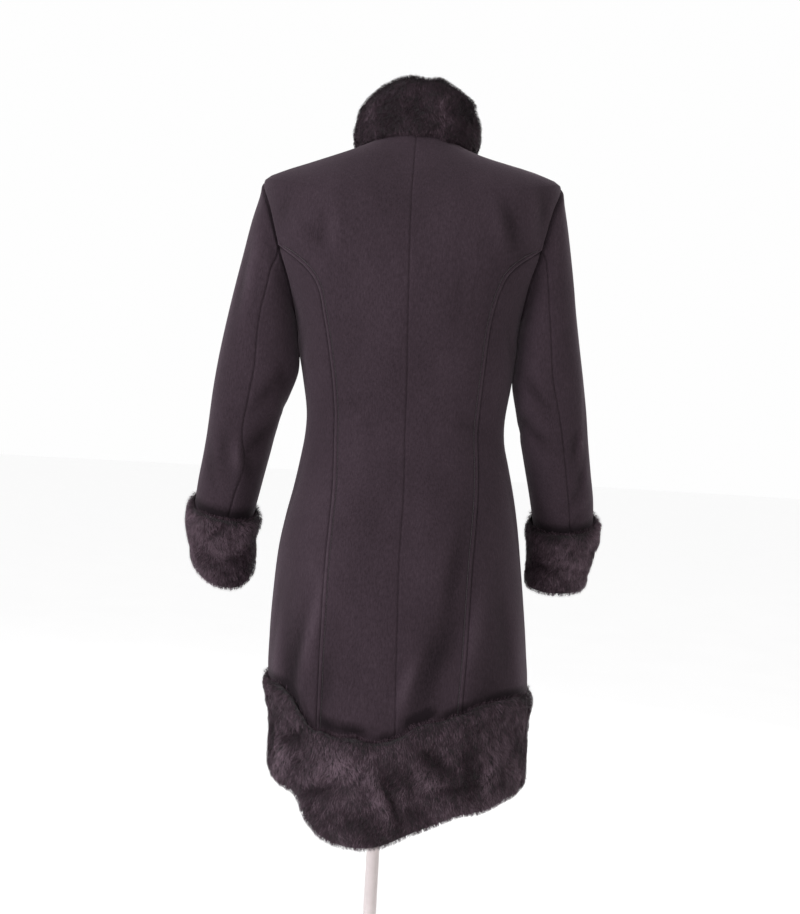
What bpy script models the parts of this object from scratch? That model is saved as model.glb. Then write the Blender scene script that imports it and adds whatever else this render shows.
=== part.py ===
"""Fitted wool coat with fur collar, cuffs and hem band, on a limbless dress form.

Metres, +Z up. The front faces -Y and the wearer's left side is +X. The origin is
on the floor, on the axis of the form's pole. Every cloth panel is a wall between
two seam curves drawn on one body surface, and every sleeve panel is a wall on one
sleeve surface that starts at the armhole.
"""
import math
from collections import namedtuple

import bmesh
import bpy
from mathutils import Vector

# Walls and seams
WALL = 0.0025
SEAM_GAP = 0.0003
REST_GAP = 0.0004

# The coat's body: levels, and the right shoulder's rise over its half width
HEM_LEVEL = 0.645
BAND_HEIGHT = 0.130
HANG_TOP = 0.800
SKIRT_TOP = 1.115
UNDERARM = 1.150
SHOULDER_TIP = 1.330
NECKLINE = 1.410
SHOULDER_SLOPE = 0.034
SLOPE_START = 1.050
SLOPE_FULL = 1.200
SLOPE_END = 1.355
FOLD_FADE = 0.140
FRONT_LAP = 0.030
LAP_EASE_ANGLE = 6.0

# Armholes: how far they reach behind and before the side line, in degrees
ARMHOLE_BACK = 28.4
ARMHOLE_FRONT = 33.0
ARMHOLE_STEPS = 10
PRINCESS_STEP = 5
SIDE_TIP_SHARE = 0.93

# The fur collar: its height, half of its opening in degrees, how its top falls
# towards the front (more is steeper), and its seam
COLLAR_BACK_TOP = 1.476
COLLAR_FRONT_TOP = 1.392
COLLAR_OPENING = 9.0
COLLAR_CURVE = 1.6
COLLAR_SEAM_DROP = 0.0060
COLLAR_SEAM_SEAT = 0.0012
COLLAR_SEAT = 0.0006

# Buttons
BUTTON_TOP = 1.225
BUTTON_PITCH = 0.120
BUTTON_COUNT = 5

# The form's stand
POLE_RADIUS = 0.009
BASE_HUB_TOP = 0.052

# Grid sizes: columns of each panel and rows of each stretch of the body
SKIRT_ROWS = 11
CENTRE_COLUMNS = 5
SIDE_COLUMNS = 5
SHOULDER_ROWS = 4
COLLAR_COLUMNS = 30
FORM_COLUMNS = 32
BUTTON_SIDES = 18
POLE_SIDES = 24
BASE_SIDES = 40

# How far apart a surface's points are taken to find its normal, how near two
# vertices are merged, and the angle in degrees above which an edge stays sharp
ANGLE_STEP = 0.8
LEVEL_STEP = 0.0015
TURN_STEP = 1.0
RING_STEP = 0.02
MERGE_DISTANCE = 0.00001
SHARP_ANGLE = 40.0

# One row for each level of the coat: half of its width, how far its back and its
# front lie from the side line, its middle, and the height of the ring at the
# back, the side and the front. "square" is 2 for an ellipse and more for a box.
Section = namedtuple(
    "Section", "level half_width back front centre z_back z_side z_front square")
COAT = (
    Section(0.515, 0.1660, 0.148, 0.146, -0.0260, 0.515, 0.515, 0.515, 2.2),
    Section(0.560, 0.1660, 0.148, 0.146, -0.0255, 0.560, 0.560, 0.560, 2.2),
    Section(0.600, 0.1675, 0.149, 0.147, -0.0245, 0.600, 0.600, 0.600, 2.2),
    Section(0.645, 0.1800, 0.153, 0.150, -0.0215, 0.645, 0.645, 0.645, 2.2),
    Section(0.710, 0.1788, 0.148, 0.145, -0.0180, 0.710, 0.710, 0.710, 2.2),
    Section(0.770, 0.1747, 0.140, 0.137, -0.0155, 0.770, 0.770, 0.770, 2.2),
    Section(0.830, 0.1688, 0.131, 0.128, -0.0137, 0.830, 0.830, 0.830, 2.2),
    Section(0.875, 0.1620, 0.122, 0.120, -0.0143, 0.875, 0.875, 0.875, 2.2),
    Section(0.917, 0.1537, 0.109, 0.113, -0.0150, 0.917, 0.917, 0.917, 2.2),
    Section(0.959, 0.1452, 0.095, 0.107, -0.0138, 0.959, 0.959, 0.959, 2.2),
    Section(0.990, 0.1395, 0.087, 0.1045, -0.0122, 0.990, 0.990, 0.990, 2.2),
    Section(1.022, 0.1388, 0.086, 0.108, -0.0118, 1.022, 1.022, 1.022, 2.2),
    Section(1.070, 0.1460, 0.096, 0.121, -0.0108, 1.070, 1.070, 1.070, 2.2),
    Section(1.110, 0.1520, 0.106, 0.132, -0.0090, 1.110, 1.110, 1.110, 2.3),
    Section(1.150, 0.1560, 0.114, 0.136, -0.0075, 1.150, 1.150, 1.150, 2.3),
    Section(1.190, 0.1720, 0.118, 0.133, -0.0062, 1.188, 1.195, 1.185, 2.4),
    Section(1.240, 0.1940, 0.119, 0.124, -0.0048, 1.233, 1.252, 1.225, 2.5),
    Section(1.290, 0.2040, 0.114, 0.112, -0.0038, 1.276, 1.308, 1.262, 2.5),
    Section(1.330, 0.2060, 0.105, 0.101, -0.0035, 1.312, 1.345, 1.292, 2.4),
    Section(1.350, 0.1780, 0.097, 0.093, -0.0038, 1.334, 1.359, 1.310, 2.3),
    Section(1.370, 0.1400, 0.086, 0.084, -0.0042, 1.357, 1.371, 1.328, 2.2),
    Section(1.390, 0.1020, 0.073, 0.076, -0.0048, 1.381, 1.382, 1.345, 2.1),
    Section(1.410, 0.0715, 0.061, 0.070, -0.0055, 1.404, 1.391, 1.358, 2.0),
)
# The limbless form inside the coat, from its flat underside to its neck
FORM = (
    Section(0.750, 0.1480, 0.116, 0.113, -0.0130, 0.750, 0.750, 0.750, 2.2),
    Section(0.800, 0.1540, 0.119, 0.116, -0.0130, 0.800, 0.800, 0.800, 2.2),
    Section(0.860, 0.1510, 0.113, 0.111, -0.0130, 0.860, 0.860, 0.860, 2.2),
    Section(0.930, 0.1380, 0.094, 0.100, -0.0130, 0.930, 0.930, 0.930, 2.2),
    Section(1.015, 0.1270, 0.076, 0.092, -0.0118, 1.015, 1.015, 1.015, 2.2),
    Section(1.085, 0.1360, 0.088, 0.112, -0.0100, 1.085, 1.085, 1.085, 2.2),
    Section(1.150, 0.1440, 0.104, 0.123, -0.0075, 1.150, 1.150, 1.150, 2.3),
    Section(1.200, 0.1540, 0.109, 0.117, -0.0060, 1.198, 1.205, 1.195, 2.3),
    Section(1.250, 0.1660, 0.108, 0.107, -0.0046, 1.243, 1.262, 1.235, 2.4),
    Section(1.300, 0.1760, 0.100, 0.094, -0.0038, 1.285, 1.318, 1.270, 2.4),
    Section(1.332, 0.1740, 0.091, 0.086, -0.0038, 1.314, 1.350, 1.294, 2.3),
    Section(1.350, 0.1460, 0.081, 0.076, -0.0042, 1.334, 1.3643, 1.312, 2.2),
    Section(1.370, 0.1100, 0.068, 0.066, -0.0048, 1.355, 1.3745, 1.326, 2.1),
    Section(1.390, 0.0770, 0.057, 0.057, -0.0054, 1.376, 1.3816, 1.340, 2.0),
    Section(1.405, 0.0640, 0.052, 0.053, -0.0055, 1.396, 1.3920, 1.358, 2.0),
    Section(1.425, 0.0600, 0.049, 0.049, -0.0055, 1.424, 1.4200, 1.400, 2.0),
    Section(1.440, 0.0580, 0.047, 0.047, -0.0055, 1.440, 1.4400, 1.440, 2.0),
)

# The hem's height around the coat: 0 is the centre back and 90 the left side
Hem = namedtuple("Hem", "angle bottom")
HEM = (
    Hem(-180, 0.515), Hem(-90, 0.515), Hem(-55, 0.519), Hem(-37, 0.513),
    Hem(-22, 0.498), Hem(-8, 0.478), Hem(4, 0.464), Hem(14, 0.459),
    Hem(28, 0.463), Hem(38, 0.477), Hem(47, 0.506), Hem(60, 0.519),
    Hem(90, 0.517), Hem(180, 0.515),
)

# Soft vertical folds of the skirt: where each one stands, its half width in
# degrees, its depth (a ridge is negative) and the levels between which it lies
Fold = namedtuple("Fold", "angle lean half_width depth low high")
FOLDS = (
    Fold(angle=47, lean=10, half_width=7, depth=0.0040, low=0.560, high=0.880),
    Fold(angle=62, lean=6, half_width=7, depth=-0.0025, low=0.560, high=0.860),
    Fold(angle=-9, lean=-4, half_width=6, depth=0.0030, low=0.540, high=0.820),
    Fold(angle=12, lean=4, half_width=8, depth=-0.0030, low=0.480, high=0.800),
    Fold(angle=-38, lean=-8, half_width=8, depth=0.0028, low=0.560, high=0.860),
    Fold(angle=-58, lean=-6, half_width=8, depth=-0.0022, low=0.560, high=0.850),
    Fold(angle=140, lean=-8, half_width=8, depth=0.0030, low=0.560, high=0.870),
    Fold(angle=-138, lean=9, half_width=8, depth=0.0032, low=0.560, high=0.860),
)

# Princess seams: how far they lie from the middle at each level
Princess = namedtuple("Princess", "level back_left back_right front")
PRINCESS = (
    Princess(0.515, 0.100, 0.082, 0.112),
    Princess(0.645, 0.103, 0.084, 0.108),
    Princess(0.720, 0.101, 0.090, 0.103),
    Princess(0.800, 0.098, 0.095, 0.096),
    Princess(0.875, 0.096, 0.098, 0.090),
    Princess(0.950, 0.096, 0.099, 0.082),
    Princess(1.020, 0.097, 0.099, 0.078),
    Princess(1.106, 0.106, 0.106, 0.086),
    Princess(1.150, 0.113, 0.112, 0.092),
    Princess(1.188, 0.122, 0.123, 0.098),
    Princess(1.212, 0.140, 0.138, 0.112),
    Princess(1.240, 0.1795, 0.1795, 0.173),
)

# One row for each ring of a sleeve: the height and the distance from the middle of
# its outer and inner end, its middle and half depth along Y, its forward tilt in
# degrees, and how far round its back seam lies (0 is the inside, 180 the outside)
Ring = namedtuple("Ring", "z_out z_in x_out x_in middle depth tilt seam")
SLEEVE_LEFT = (
    Ring(1.343, 1.149, 0.2015, 0.1490, 0.0000, 0.0580, 0, 72),
    Ring(1.322, 1.154, 0.2080, 0.1570, 0.0010, 0.0620, 0, 74),
    Ring(1.285, 1.149, 0.2165, 0.1595, 0.0020, 0.0645, 0, 79),
    Ring(1.235, 1.134, 0.2262, 0.1575, 0.0030, 0.0650, 0, 84),
    Ring(1.180, 1.117, 0.2372, 0.1515, 0.0040, 0.0640, 0, 88),
    Ring(1.130, 1.098, 0.2462, 0.1460, 0.0050, 0.0615, 0, 89),
    Ring(1.085, 1.072, 0.2535, 0.1430, 0.0050, 0.0585, 2, 86),
    Ring(1.043, 1.036, 0.2589, 0.1540, 0.0030, 0.0550, 6, 83),
    Ring(1.001, 0.998, 0.2637, 0.1668, -0.0050, 0.0515, 14, 79),
    Ring(0.959, 0.956, 0.2705, 0.1775, -0.0190, 0.0490, 20, 68),
    Ring(0.916, 0.913, 0.2792, 0.1885, -0.0360, 0.0465, 22, 65),
    Ring(0.868, 0.843, 0.2855, 0.2040, -0.0540, 0.0440, 19, 68),
    Ring(0.836, 0.820, 0.2855, 0.2045, -0.0700, 0.0435, 30, 70),
    Ring(0.813, 0.793, 0.2845, 0.2040, -0.0820, 0.0460, 46, 72),
    Ring(0.795, 0.772, 0.2830, 0.2050, -0.0900, 0.0460, 46, 72),
)
SLEEVE_RIGHT = (
    Ring(1.343, 1.149, 0.2100, 0.1630, 0.0000, 0.0580, 0, 72),
    Ring(1.322, 1.154, 0.2165, 0.1710, 0.0010, 0.0620, 0, 73),
    Ring(1.285, 1.149, 0.2240, 0.1740, 0.0020, 0.0645, 0, 75),
    Ring(1.235, 1.134, 0.2318, 0.1730, 0.0030, 0.0650, 0, 77),
    Ring(1.180, 1.117, 0.2400, 0.1695, 0.0040, 0.0640, 0, 80),
    Ring(1.130, 1.098, 0.2480, 0.1655, 0.0050, 0.0615, 0, 88),
    Ring(1.085, 1.072, 0.2558, 0.1630, 0.0050, 0.0585, 2, 93),
    Ring(1.043, 1.036, 0.2628, 0.1655, 0.0030, 0.0550, 6, 91),
    Ring(1.001, 0.998, 0.2694, 0.1740, -0.0050, 0.0515, 14, 90),
    Ring(0.959, 0.956, 0.2776, 0.1848, -0.0190, 0.0490, 20, 95),
    Ring(0.916, 0.913, 0.2865, 0.1960, -0.0360, 0.0465, 22, 92),
    Ring(0.872, 0.861, 0.2895, 0.2070, -0.0540, 0.0440, 24, 90),
    Ring(0.831, 0.825, 0.2855, 0.2085, -0.0720, 0.0430, 20, 90),
    Ring(0.797, 0.794, 0.2820, 0.2080, -0.0845, 0.0425, 12, 90),
    Ring(0.776, 0.773, 0.2810, 0.2080, -0.0920, 0.0425, 12, 90),
)
# The first row after the armhole, the last one, the ring where the shoulder's
# slope ends, and the seams: steps round the armhole and turn of the front one
SLEEVE_START = 0.8
SLEEVE_END = 13
SLEEVE_TURN = 3
SLEEVE_SEAM_STEP = 4
FRONT_SLEEVE_SEAM = 62
SLEEVE_SQUARE = 2.2

# Outline of a cuff's wall: ring number of the sleeve, and distance out of it
Edge = namedtuple("Edge", "along out")
CUFF_OUTLINE = (
    Edge(13.25, 0.0004), Edge(13.00, 0.0004), Edge(12.00, 0.0004), Edge(11.00, 0.0006),
    Edge(10.66, 0.0024), Edge(10.58, 0.0052), Edge(10.58, 0.0090), Edge(10.74, 0.0118),
    Edge(11.20, 0.0112), Edge(12.10, 0.0092), Edge(12.90, 0.0088), Edge(13.20, 0.0072),
    Edge(13.32, 0.0040),
)
# Outline of the hem band: share of its height from the top, and distance out
HEM_OUTLINE = (
    Edge(1.000, -0.0025), Edge(0.500, -0.0025), Edge(0.0032, -0.0025),
    Edge(0.0032, 0.0006), Edge(-0.035, 0.0036), Edge(-0.030, 0.0080),
    Edge(0.050, 0.0118), Edge(0.300, 0.0135), Edge(0.600, 0.0145),
    Edge(0.880, 0.0142), Edge(0.985, 0.0105), Edge(1.030, 0.0040),
)
# Outline of the collar: share of its height, and distance out of the neckline
COLLAR_OUTLINE = (
    Edge(0.00, 0.0004), Edge(0.50, 0.0010), Edge(0.88, 0.0030), Edge(0.985, 0.0070),
    Edge(1.00, 0.0110), Edge(0.955, 0.0158), Edge(0.80, 0.0185), Edge(0.45, 0.0168),
    Edge(0.13, 0.0140), Edge(0.00, 0.0100),
)

# Outlines of the turned parts, from their top on the axis round to it again
Turn = namedtuple("Turn", "radius height")
BUTTON_OUTLINE = (
    Turn(0.0000, 0.0053), Turn(0.0087, 0.0053), Turn(0.0109, 0.0070), Turn(0.0126, 0.0070),
    Turn(0.0140, 0.0050), Turn(0.0123, 0.0025), Turn(0.0030, 0.0025), Turn(0.0030, 0.0000),
    Turn(0.0000, 0.0000),
)
BASE_OUTLINE = (
    Turn(0.0000, BASE_HUB_TOP), Turn(0.0200, BASE_HUB_TOP), Turn(0.0215, 0.0500),
    Turn(0.0220, 0.0300), Turn(0.0350, 0.0190), Turn(0.1728, 0.0120), Turn(0.1800, 0.0080),
    Turn(0.1800, 0.0000), Turn(0.0000, 0.0000),
)

# Finishes: colour, roughness and metallic value
Finish = namedtuple("Finish", "colour roughness metallic")
WOOL = Finish((0.045, 0.042, 0.043), 0.92, 0.0)
FUR = Finish((0.018, 0.017, 0.017), 0.75, 0.0)
HORN = Finish((0.030, 0.027, 0.025), 0.35, 0.0)
JERSEY = Finish((0.60, 0.55, 0.50), 0.85, 0.0)
PAINT = Finish((0.66, 0.58, 0.57), 0.40, 0.0)


def between(rows, key, field, value):
    """Value of one column of a table at a key, on a smooth curve through its rows."""
    keys = [getattr(row, key) for row in rows]
    values = [getattr(row, field) for row in rows]
    last = len(rows) - 1

    def slope(index):
        low, high = max(index - 1, 0), min(index + 1, last)
        return (values[high] - values[low]) / (keys[high] - keys[low])

    if value <= keys[0]:
        return values[0] + slope(0) * (value - keys[0])
    if value >= keys[last]:
        return values[last] + slope(last) * (value - keys[last])
    index = next(i for i in range(last) if value <= keys[i + 1])
    span = keys[index + 1] - keys[index]
    t = (value - keys[index]) / span
    rise = t * t * (3 - 2 * t)
    leave = t * (1 - t) ** 2
    arrive = t * t * (1 - t)
    return (values[index] * (1 - rise) + values[index + 1] * rise
            + span * (slope(index) * leave - slope(index + 1) * arrive))


def ease_step(low, high, value):
    """0 below low, 1 above high, and a smooth step between."""
    t = min(1.0, max(0.0, (value - low) / (high - low)))
    return t * t * (3 - 2 * t)


def mix(a, b, share):
    """A value or a vector between a and b."""
    return a + (b - a) * share


def wrapped(angle):
    """The same angle between -180 and 180 degrees."""
    return (angle + 180) % 360 - 180


def hem_drop(angle):
    """How far the hem hangs above its level at an angle; it hangs below at the back."""
    return between(HEM, "angle", "bottom", wrapped(angle)) - (HEM_LEVEL - BAND_HEIGHT)


def fold_depth(angle, level):
    """Depth of the skirt's folds at a place, added up."""
    depth = 0.0
    for fold in FOLDS:
        share = ease_step(fold.low, fold.high, level)
        window = (1 - share) * ease_step(fold.low - FOLD_FADE, fold.low, level)
        off = wrapped(angle - fold.angle - fold.lean * share) / fold.half_width
        depth += fold.depth * window * math.exp(-off * off)
    return depth


def ring_point(table, angle, level):
    """Point of a body surface. Angle 0 is the centre back, 90 the left side."""
    half_width, back, front, centre, z_back, z_side, z_front, square = (
        between(table, "level", field, level) for field in Section._fields[1:])
    across, along = math.sin(math.radians(angle)), math.cos(math.radians(angle))
    reach = (abs(across) ** square + abs(along) ** square) ** (-1 / square)
    x = half_width * reach * across
    y = (back if along > 0 else front) * reach * along
    side_share = across * across
    z = mix(z_back if along > 0 else z_front, z_side, side_share)
    fade = 1 - ease_step(SLOPE_END, NECKLINE, level)
    z -= SHOULDER_SLOPE * x * ease_step(SLOPE_START, SLOPE_FULL, level) * fade
    if table is COAT:
        z += hem_drop(angle) * (1 - ease_step(HEM_LEVEL, HANG_TOP, level))
        depth = fold_depth(angle, level)
        outward = Vector((x / half_width ** 2, y / back ** 2, 0)).normalized()
        x -= outward.x * depth
        y -= outward.y * depth
    return Vector((centre + x, y, z))


def surface_normal(point_at, u, v, du, dv):
    """Unit normal of the surface point_at(u, v), from its neighbours."""
    along_u = point_at(u + du, v) - point_at(u - du, v)
    along_v = point_at(u, v + dv) - point_at(u, v - dv)
    return along_v.cross(along_u).normalized()


def coat_point(angle, level):
    """Point of the coat's outer surface."""
    return ring_point(COAT, angle, level)


def coat_normal(angle, level):
    """Outward normal of the coat's outer surface."""
    return surface_normal(coat_point, angle, level, ANGLE_STEP, LEVEL_STEP)


def angle_at(distance, level, front=False):
    """Angle of the point that lies a distance from the coat's middle."""
    half_width = between(COAT, "level", "half_width", level)
    square = between(COAT, "level", "square", level)
    share = min(distance / half_width, 0.9999)
    rest = (1 - share ** square) ** (1 / square)
    angle = math.degrees(math.atan2(share, rest))
    return 180 - angle if front else angle


def body_levels():
    """Levels of the rows that all body panels share, hem to neckline."""
    skirt = [mix(HEM_LEVEL, SKIRT_TOP, i / SKIRT_ROWS) for i in range(SKIRT_ROWS + 1)]
    armhole = [mix(UNDERARM, SHOULDER_TIP, (1 - math.cos(math.pi * k / ARMHOLE_STEPS)) / 2)
               for k in range(ARMHOLE_STEPS + 1)]
    shoulder = [mix(SHOULDER_TIP, NECKLINE, k / SHOULDER_ROWS)
                for k in range(1, SHOULDER_ROWS + 1)]
    return skirt + armhole + shoulder


LEVELS = body_levels()
ROW_UNDERARM = SKIRT_ROWS + 1
ROW_PRINCESS = ROW_UNDERARM + PRINCESS_STEP
ROW_TIP = ROW_UNDERARM + ARMHOLE_STEPS
ROW_NECK = len(LEVELS) - 1


def armhole_angle(side, front, row):
    """Angle of the armhole's edge at a row between the underarm and the tip."""
    step = row - ROW_UNDERARM
    reach = ARMHOLE_FRONT if front else ARMHOLE_BACK
    swing = reach * math.sin(math.pi * step / ARMHOLE_STEPS)
    return side * (90 + swing if front else 90 - swing)


def princess_angle(side, front, row):
    """Angle of a princess seam at a row below its end at the armhole."""
    if row == ROW_PRINCESS:
        return armhole_angle(side, front, row)
    level = LEVELS[row]
    field = "front" if front else ("back_left" if side > 0 else "back_right")
    return side * angle_at(between(PRINCESS, "level", field, level), level, front)


Knot = namedtuple("Knot", "point normal across")


def curve_knots(points, normals, closed=False):
    """Points of a seam curve with the surface's normal and the way across the seam."""
    result = []
    for i, (point, normal) in enumerate(zip(points, normals)):
        before = points[i - 1] if i or closed else points[0]
        after = points[(i + 1) % len(points)] if closed or i + 1 < len(points) else point
        across = normal.cross(after - before).normalized()
        result.append(Knot(point, normal, across))
    return result


def knots(places, closed=False):
    """Knots of a seam curve through places on the coat."""
    return curve_knots([coat_point(*place) for place in places],
                       [coat_normal(*place) for place in places], closed)


def seam_knots(rows, angle_of_row):
    """Knots of a seam on the coat, by row."""
    places = [(angle_of_row(row), LEVELS[row]) for row in rows]
    return dict(zip(rows, knots(places)))


def edge_pair(knot, shift):
    """Outer and inner point of a wall's edge, moved across the seam."""
    outer = knot.point + knot.across * shift
    return outer, outer - knot.normal * WALL


def closed_mesh(bm, mesh):
    """Cut a closed body into triangles, turn them outwards and write it to its mesh."""
    bmesh.ops.triangulate(bm, faces=bm.faces[:])
    bmesh.ops.recalc_face_normals(bm, faces=bm.faces[:])
    if bm.calc_volume(signed=True) < 0:
        bmesh.ops.reverse_faces(bm, faces=bm.faces[:])
    bm.to_mesh(mesh)
    bm.free()
    return mesh


def slab(name, columns, rows, place):
    """A wall: a grid made solid in its own plane, then every vertex put in its place."""
    mesh = bpy.data.meshes.new(name)
    bm = bmesh.new()
    bmesh.ops.create_grid(bm, x_segments=columns, y_segments=rows, size=0.5)
    bmesh.ops.solidify(bm, geom=bm.faces[:], thickness=1.0)
    for vertex in bm.verts:
        column = round((vertex.co.x + 0.5) * columns)
        row = round((vertex.co.y + 0.5) * rows)
        outer = abs(vertex.co.z) < 0.5
        vertex.co = place(column, row, outer)
    return closed_mesh(bm, mesh)


def tube(name, columns, count, place, closed_path=False):
    """A solid swept along a path: a grid rolled up, with its ends filled or joined."""
    mesh = bpy.data.meshes.new(name)
    bm = bmesh.new()
    bmesh.ops.create_grid(bm, x_segments=columns, y_segments=count, size=0.5)
    for vertex in bm.verts:
        column = round((vertex.co.x + 0.5) * columns)
        around = round((vertex.co.y + 0.5) * count) % count
        vertex.co = place(column % columns if closed_path else column, around)
    bmesh.ops.remove_doubles(bm, verts=bm.verts[:], dist=MERGE_DISTANCE)
    if not closed_path:
        bmesh.ops.holes_fill(bm, edges=bm.edges[:], sides=count)
    return closed_mesh(bm, mesh)


def material(name, finish):
    """A Principled material."""
    made = bpy.data.materials.new(name)
    made.use_nodes = True
    shader = made.node_tree.nodes["Principled BSDF"]
    shader.inputs["Base Color"].default_value = (*finish.colour, 1.0)
    shader.inputs["Roughness"].default_value = finish.roughness
    shader.inputs["Metallic"].default_value = finish.metallic
    return made


def add(name, mesh, finish, collection):
    """Put a mesh into the scene as an object of its own, with its own material."""
    mesh.materials.append(material(name + "_finish", finish))
    mesh.shade_smooth()
    mesh.set_sharp_from_angle(angle=math.radians(SHARP_ANGLE))
    made = bpy.data.objects.new(name, mesh)
    collection.objects.link(made)
    return made


def wall_from_edges(name, first, last, columns, inside_point, inside_normal):
    """A panel's wall between two edges, each a list of outer and inner points by row."""
    def place(column, row, outer):
        layer = 0 if outer else 1
        if column == 0:
            return first[row][layer]
        if column == columns:
            return last[row][layer]
        point = inside_point(row, column / columns)
        if outer:
            return point
        return point - inside_normal(row, column / columns) * WALL
    return slab(name, columns, len(first) - 1, place)


def lap_depth(angle, front_edge):
    """How far the left front lies below the right one, near and under the lap."""
    off = (angle - front_edge + LAP_EASE_ANGLE) / LAP_EASE_ANGLE
    return (WALL + REST_GAP) * ease_step(0, 1, off)


def lap_angle(row):
    """Angle that the front lap takes up beyond the centre front at a row."""
    return 180 - angle_at(FRONT_LAP, LEVELS[row], front=True)


def centre_outer_edge(side, front):
    """Outer edge of a centre panel by row: princess seam, armhole and shoulder seam."""
    rows = list(range(ROW_NECK + 1))
    half = SEAM_GAP / 2
    turn = side if front else -side
    princess = seam_knots(rows[:ROW_PRINCESS + 1], lambda r: princess_angle(side, front, r))
    armhole = seam_knots(rows[ROW_PRINCESS:ROW_TIP + 1], lambda r: armhole_angle(side, front, r))
    shoulder = seam_knots(rows[ROW_TIP:], lambda r: side * 90)
    outer_edge = []
    for row in rows:
        if row <= ROW_PRINCESS:
            outer_edge.append(edge_pair(princess[row], turn * half))
        elif row < ROW_TIP:
            outer_edge.append(edge_pair(armhole[row], 0.0))
        else:
            outer_edge.append(edge_pair(shoulder[row], turn * half))
    return outer_edge


def outer_angle(side, front, row):
    """Angle of a centre panel's outer edge at a row."""
    if row <= ROW_PRINCESS:
        return princess_angle(side, front, row)
    if row < ROW_TIP:
        return armhole_angle(side, front, row)
    return side * 90


def back_centre(name, side):
    """Centre back panel, from the centre-back seam to the princess seam and shoulder."""
    rows = list(range(ROW_NECK + 1))
    centre = seam_knots(rows, lambda r: 0.0)
    first = [edge_pair(centre[row], side * SEAM_GAP / 2) for row in rows]
    last = centre_outer_edge(side, front=False)

    def spot(row, share):
        return mix(0.0, outer_angle(side, False, row), share), LEVELS[row]
    return wall_from_edges(name, first, last, CENTRE_COLUMNS,
                           lambda row, share: coat_point(*spot(row, share)),
                           lambda row, share: coat_normal(*spot(row, share)))


def front_stops(side, row):
    """Angles of a centre front panel's columns at a row, out to the end of its lap."""
    lap = lap_angle(row)
    start = outer_angle(side, True, row)
    ease = LAP_EASE_ANGLE if side > 0 else 0.0
    stops = [mix(start, side * (180 - lap - ease), i / (CENTRE_COLUMNS - 1))
             for i in range(CENTRE_COLUMNS)]
    if ease:
        stops.append(180 - lap)
    return stops + [side * 180, side * (180 + lap)]


def front_centre(name, side):
    """Centre front panel. The right one laps over the left one at the centre front."""
    last = centre_outer_edge(side, front=True)
    count = len(front_stops(side, 0)) - 1

    def points(row, column):
        angle = front_stops(side, row)[count - column]
        normal = coat_normal(angle, LEVELS[row])
        outer = coat_point(angle, LEVELS[row])
        if side > 0:
            outer = outer - normal * lap_depth(angle, 180 - lap_angle(row))
        return outer, outer - normal * WALL

    def place(column, row, outer):
        pair = last[row] if column == count else points(row, column)
        return pair[0] if outer else pair[1]
    return slab(name, count, ROW_NECK, place)


def side_panel(name, side, front):
    """Side panel, from the princess seam to the side seam, with its tip at the armhole."""
    half = SEAM_GAP / 2
    turn = -side if front else side
    rows = list(range(ROW_PRINCESS + 1))
    princess = seam_knots(rows, lambda r: princess_angle(side, front, r))
    under = seam_knots(rows[:ROW_UNDERARM + 1], lambda r: side * 90)
    armhole = seam_knots(rows[ROW_UNDERARM:], lambda r: armhole_angle(side, front, r))
    first = [edge_pair(princess[row], turn * half) for row in rows]
    last = []
    for row in rows:
        if row <= ROW_UNDERARM:
            last.append(edge_pair(under[row], -turn * half))
        else:
            last.append(edge_pair(armhole[row], 0.0))
    for edge in (first, last):
        edge[-1] = tuple(mix(edge[-2][layer], edge[-1][layer], SIDE_TIP_SHARE)
                         for layer in (0, 1))

    def spot(row, share):
        start = princess_angle(side, front, row)
        end = side * 90 if row <= ROW_UNDERARM else armhole_angle(side, front, row)
        return mix(start, end, share), LEVELS[row]

    def inside_point(row, share):
        if row == ROW_PRINCESS:
            return mix(first[-1][0], last[-1][0], share)
        return coat_point(*spot(row, share))
    return wall_from_edges(name, first, last, SIDE_COLUMNS, inside_point,
                           lambda row, share: coat_normal(*spot(row, share)))


def armhole_loop(side):
    """Knots round an armhole: underarm, back, shoulder tip, front."""
    back = [(armhole_angle(side, False, ROW_UNDERARM + k), LEVELS[ROW_UNDERARM + k])
            for k in range(ARMHOLE_STEPS + 1)]
    front = [(armhole_angle(side, True, ROW_UNDERARM + k), LEVELS[ROW_UNDERARM + k])
             for k in range(ARMHOLE_STEPS - 1, 0, -1)]
    return knots(back + front, closed=True)


def sleeve_point(side, turn, ring):
    """Point of a sleeve. Turn 0 is the inside, 90 the back, 180 the outside."""
    value = {field: ring_value(side, field, ring) for field in Ring._fields[:-1]}
    slope = -SHOULDER_SLOPE * side * (1 - ease_step(0, SLEEVE_TURN, ring))
    out_x, in_x = value["x_out"], value["x_in"]
    outer = Vector((side * out_x, value["middle"], value["z_out"] + slope * out_x))
    inner = Vector((side * in_x, value["middle"], value["z_in"] + slope * in_x))
    tilt = math.radians(value["tilt"])
    depth = Vector((0, math.cos(tilt), -math.sin(tilt))) * value["depth"]
    across, along = math.sin(math.radians(turn)), math.cos(math.radians(turn))
    reach = (abs(across) ** SLEEVE_SQUARE + abs(along) ** SLEEVE_SQUARE) ** (-1 / SLEEVE_SQUARE)
    middle = (outer + inner) / 2
    return middle - (outer - inner) / 2 * (along * reach) + depth * (across * reach)


RingNumber = namedtuple("RingNumber", ("number",) + Ring._fields)
SLEEVE_RINGS = {side: tuple(RingNumber(i, *ring) for i, ring in enumerate(table))
                for side, table in ((1, SLEEVE_LEFT), (-1, SLEEVE_RIGHT))}


def ring_value(side, field, ring):
    """Value of a sleeve's column at a ring number."""
    return between(SLEEVE_RINGS[side], "number", field, ring)


def sleeve_normal(side, turn, ring):
    """Outward normal of a sleeve."""
    normal = surface_normal(lambda u, v: sleeve_point(side, u, v), turn, ring,
                            TURN_STEP, RING_STEP)
    return normal * -side


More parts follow.
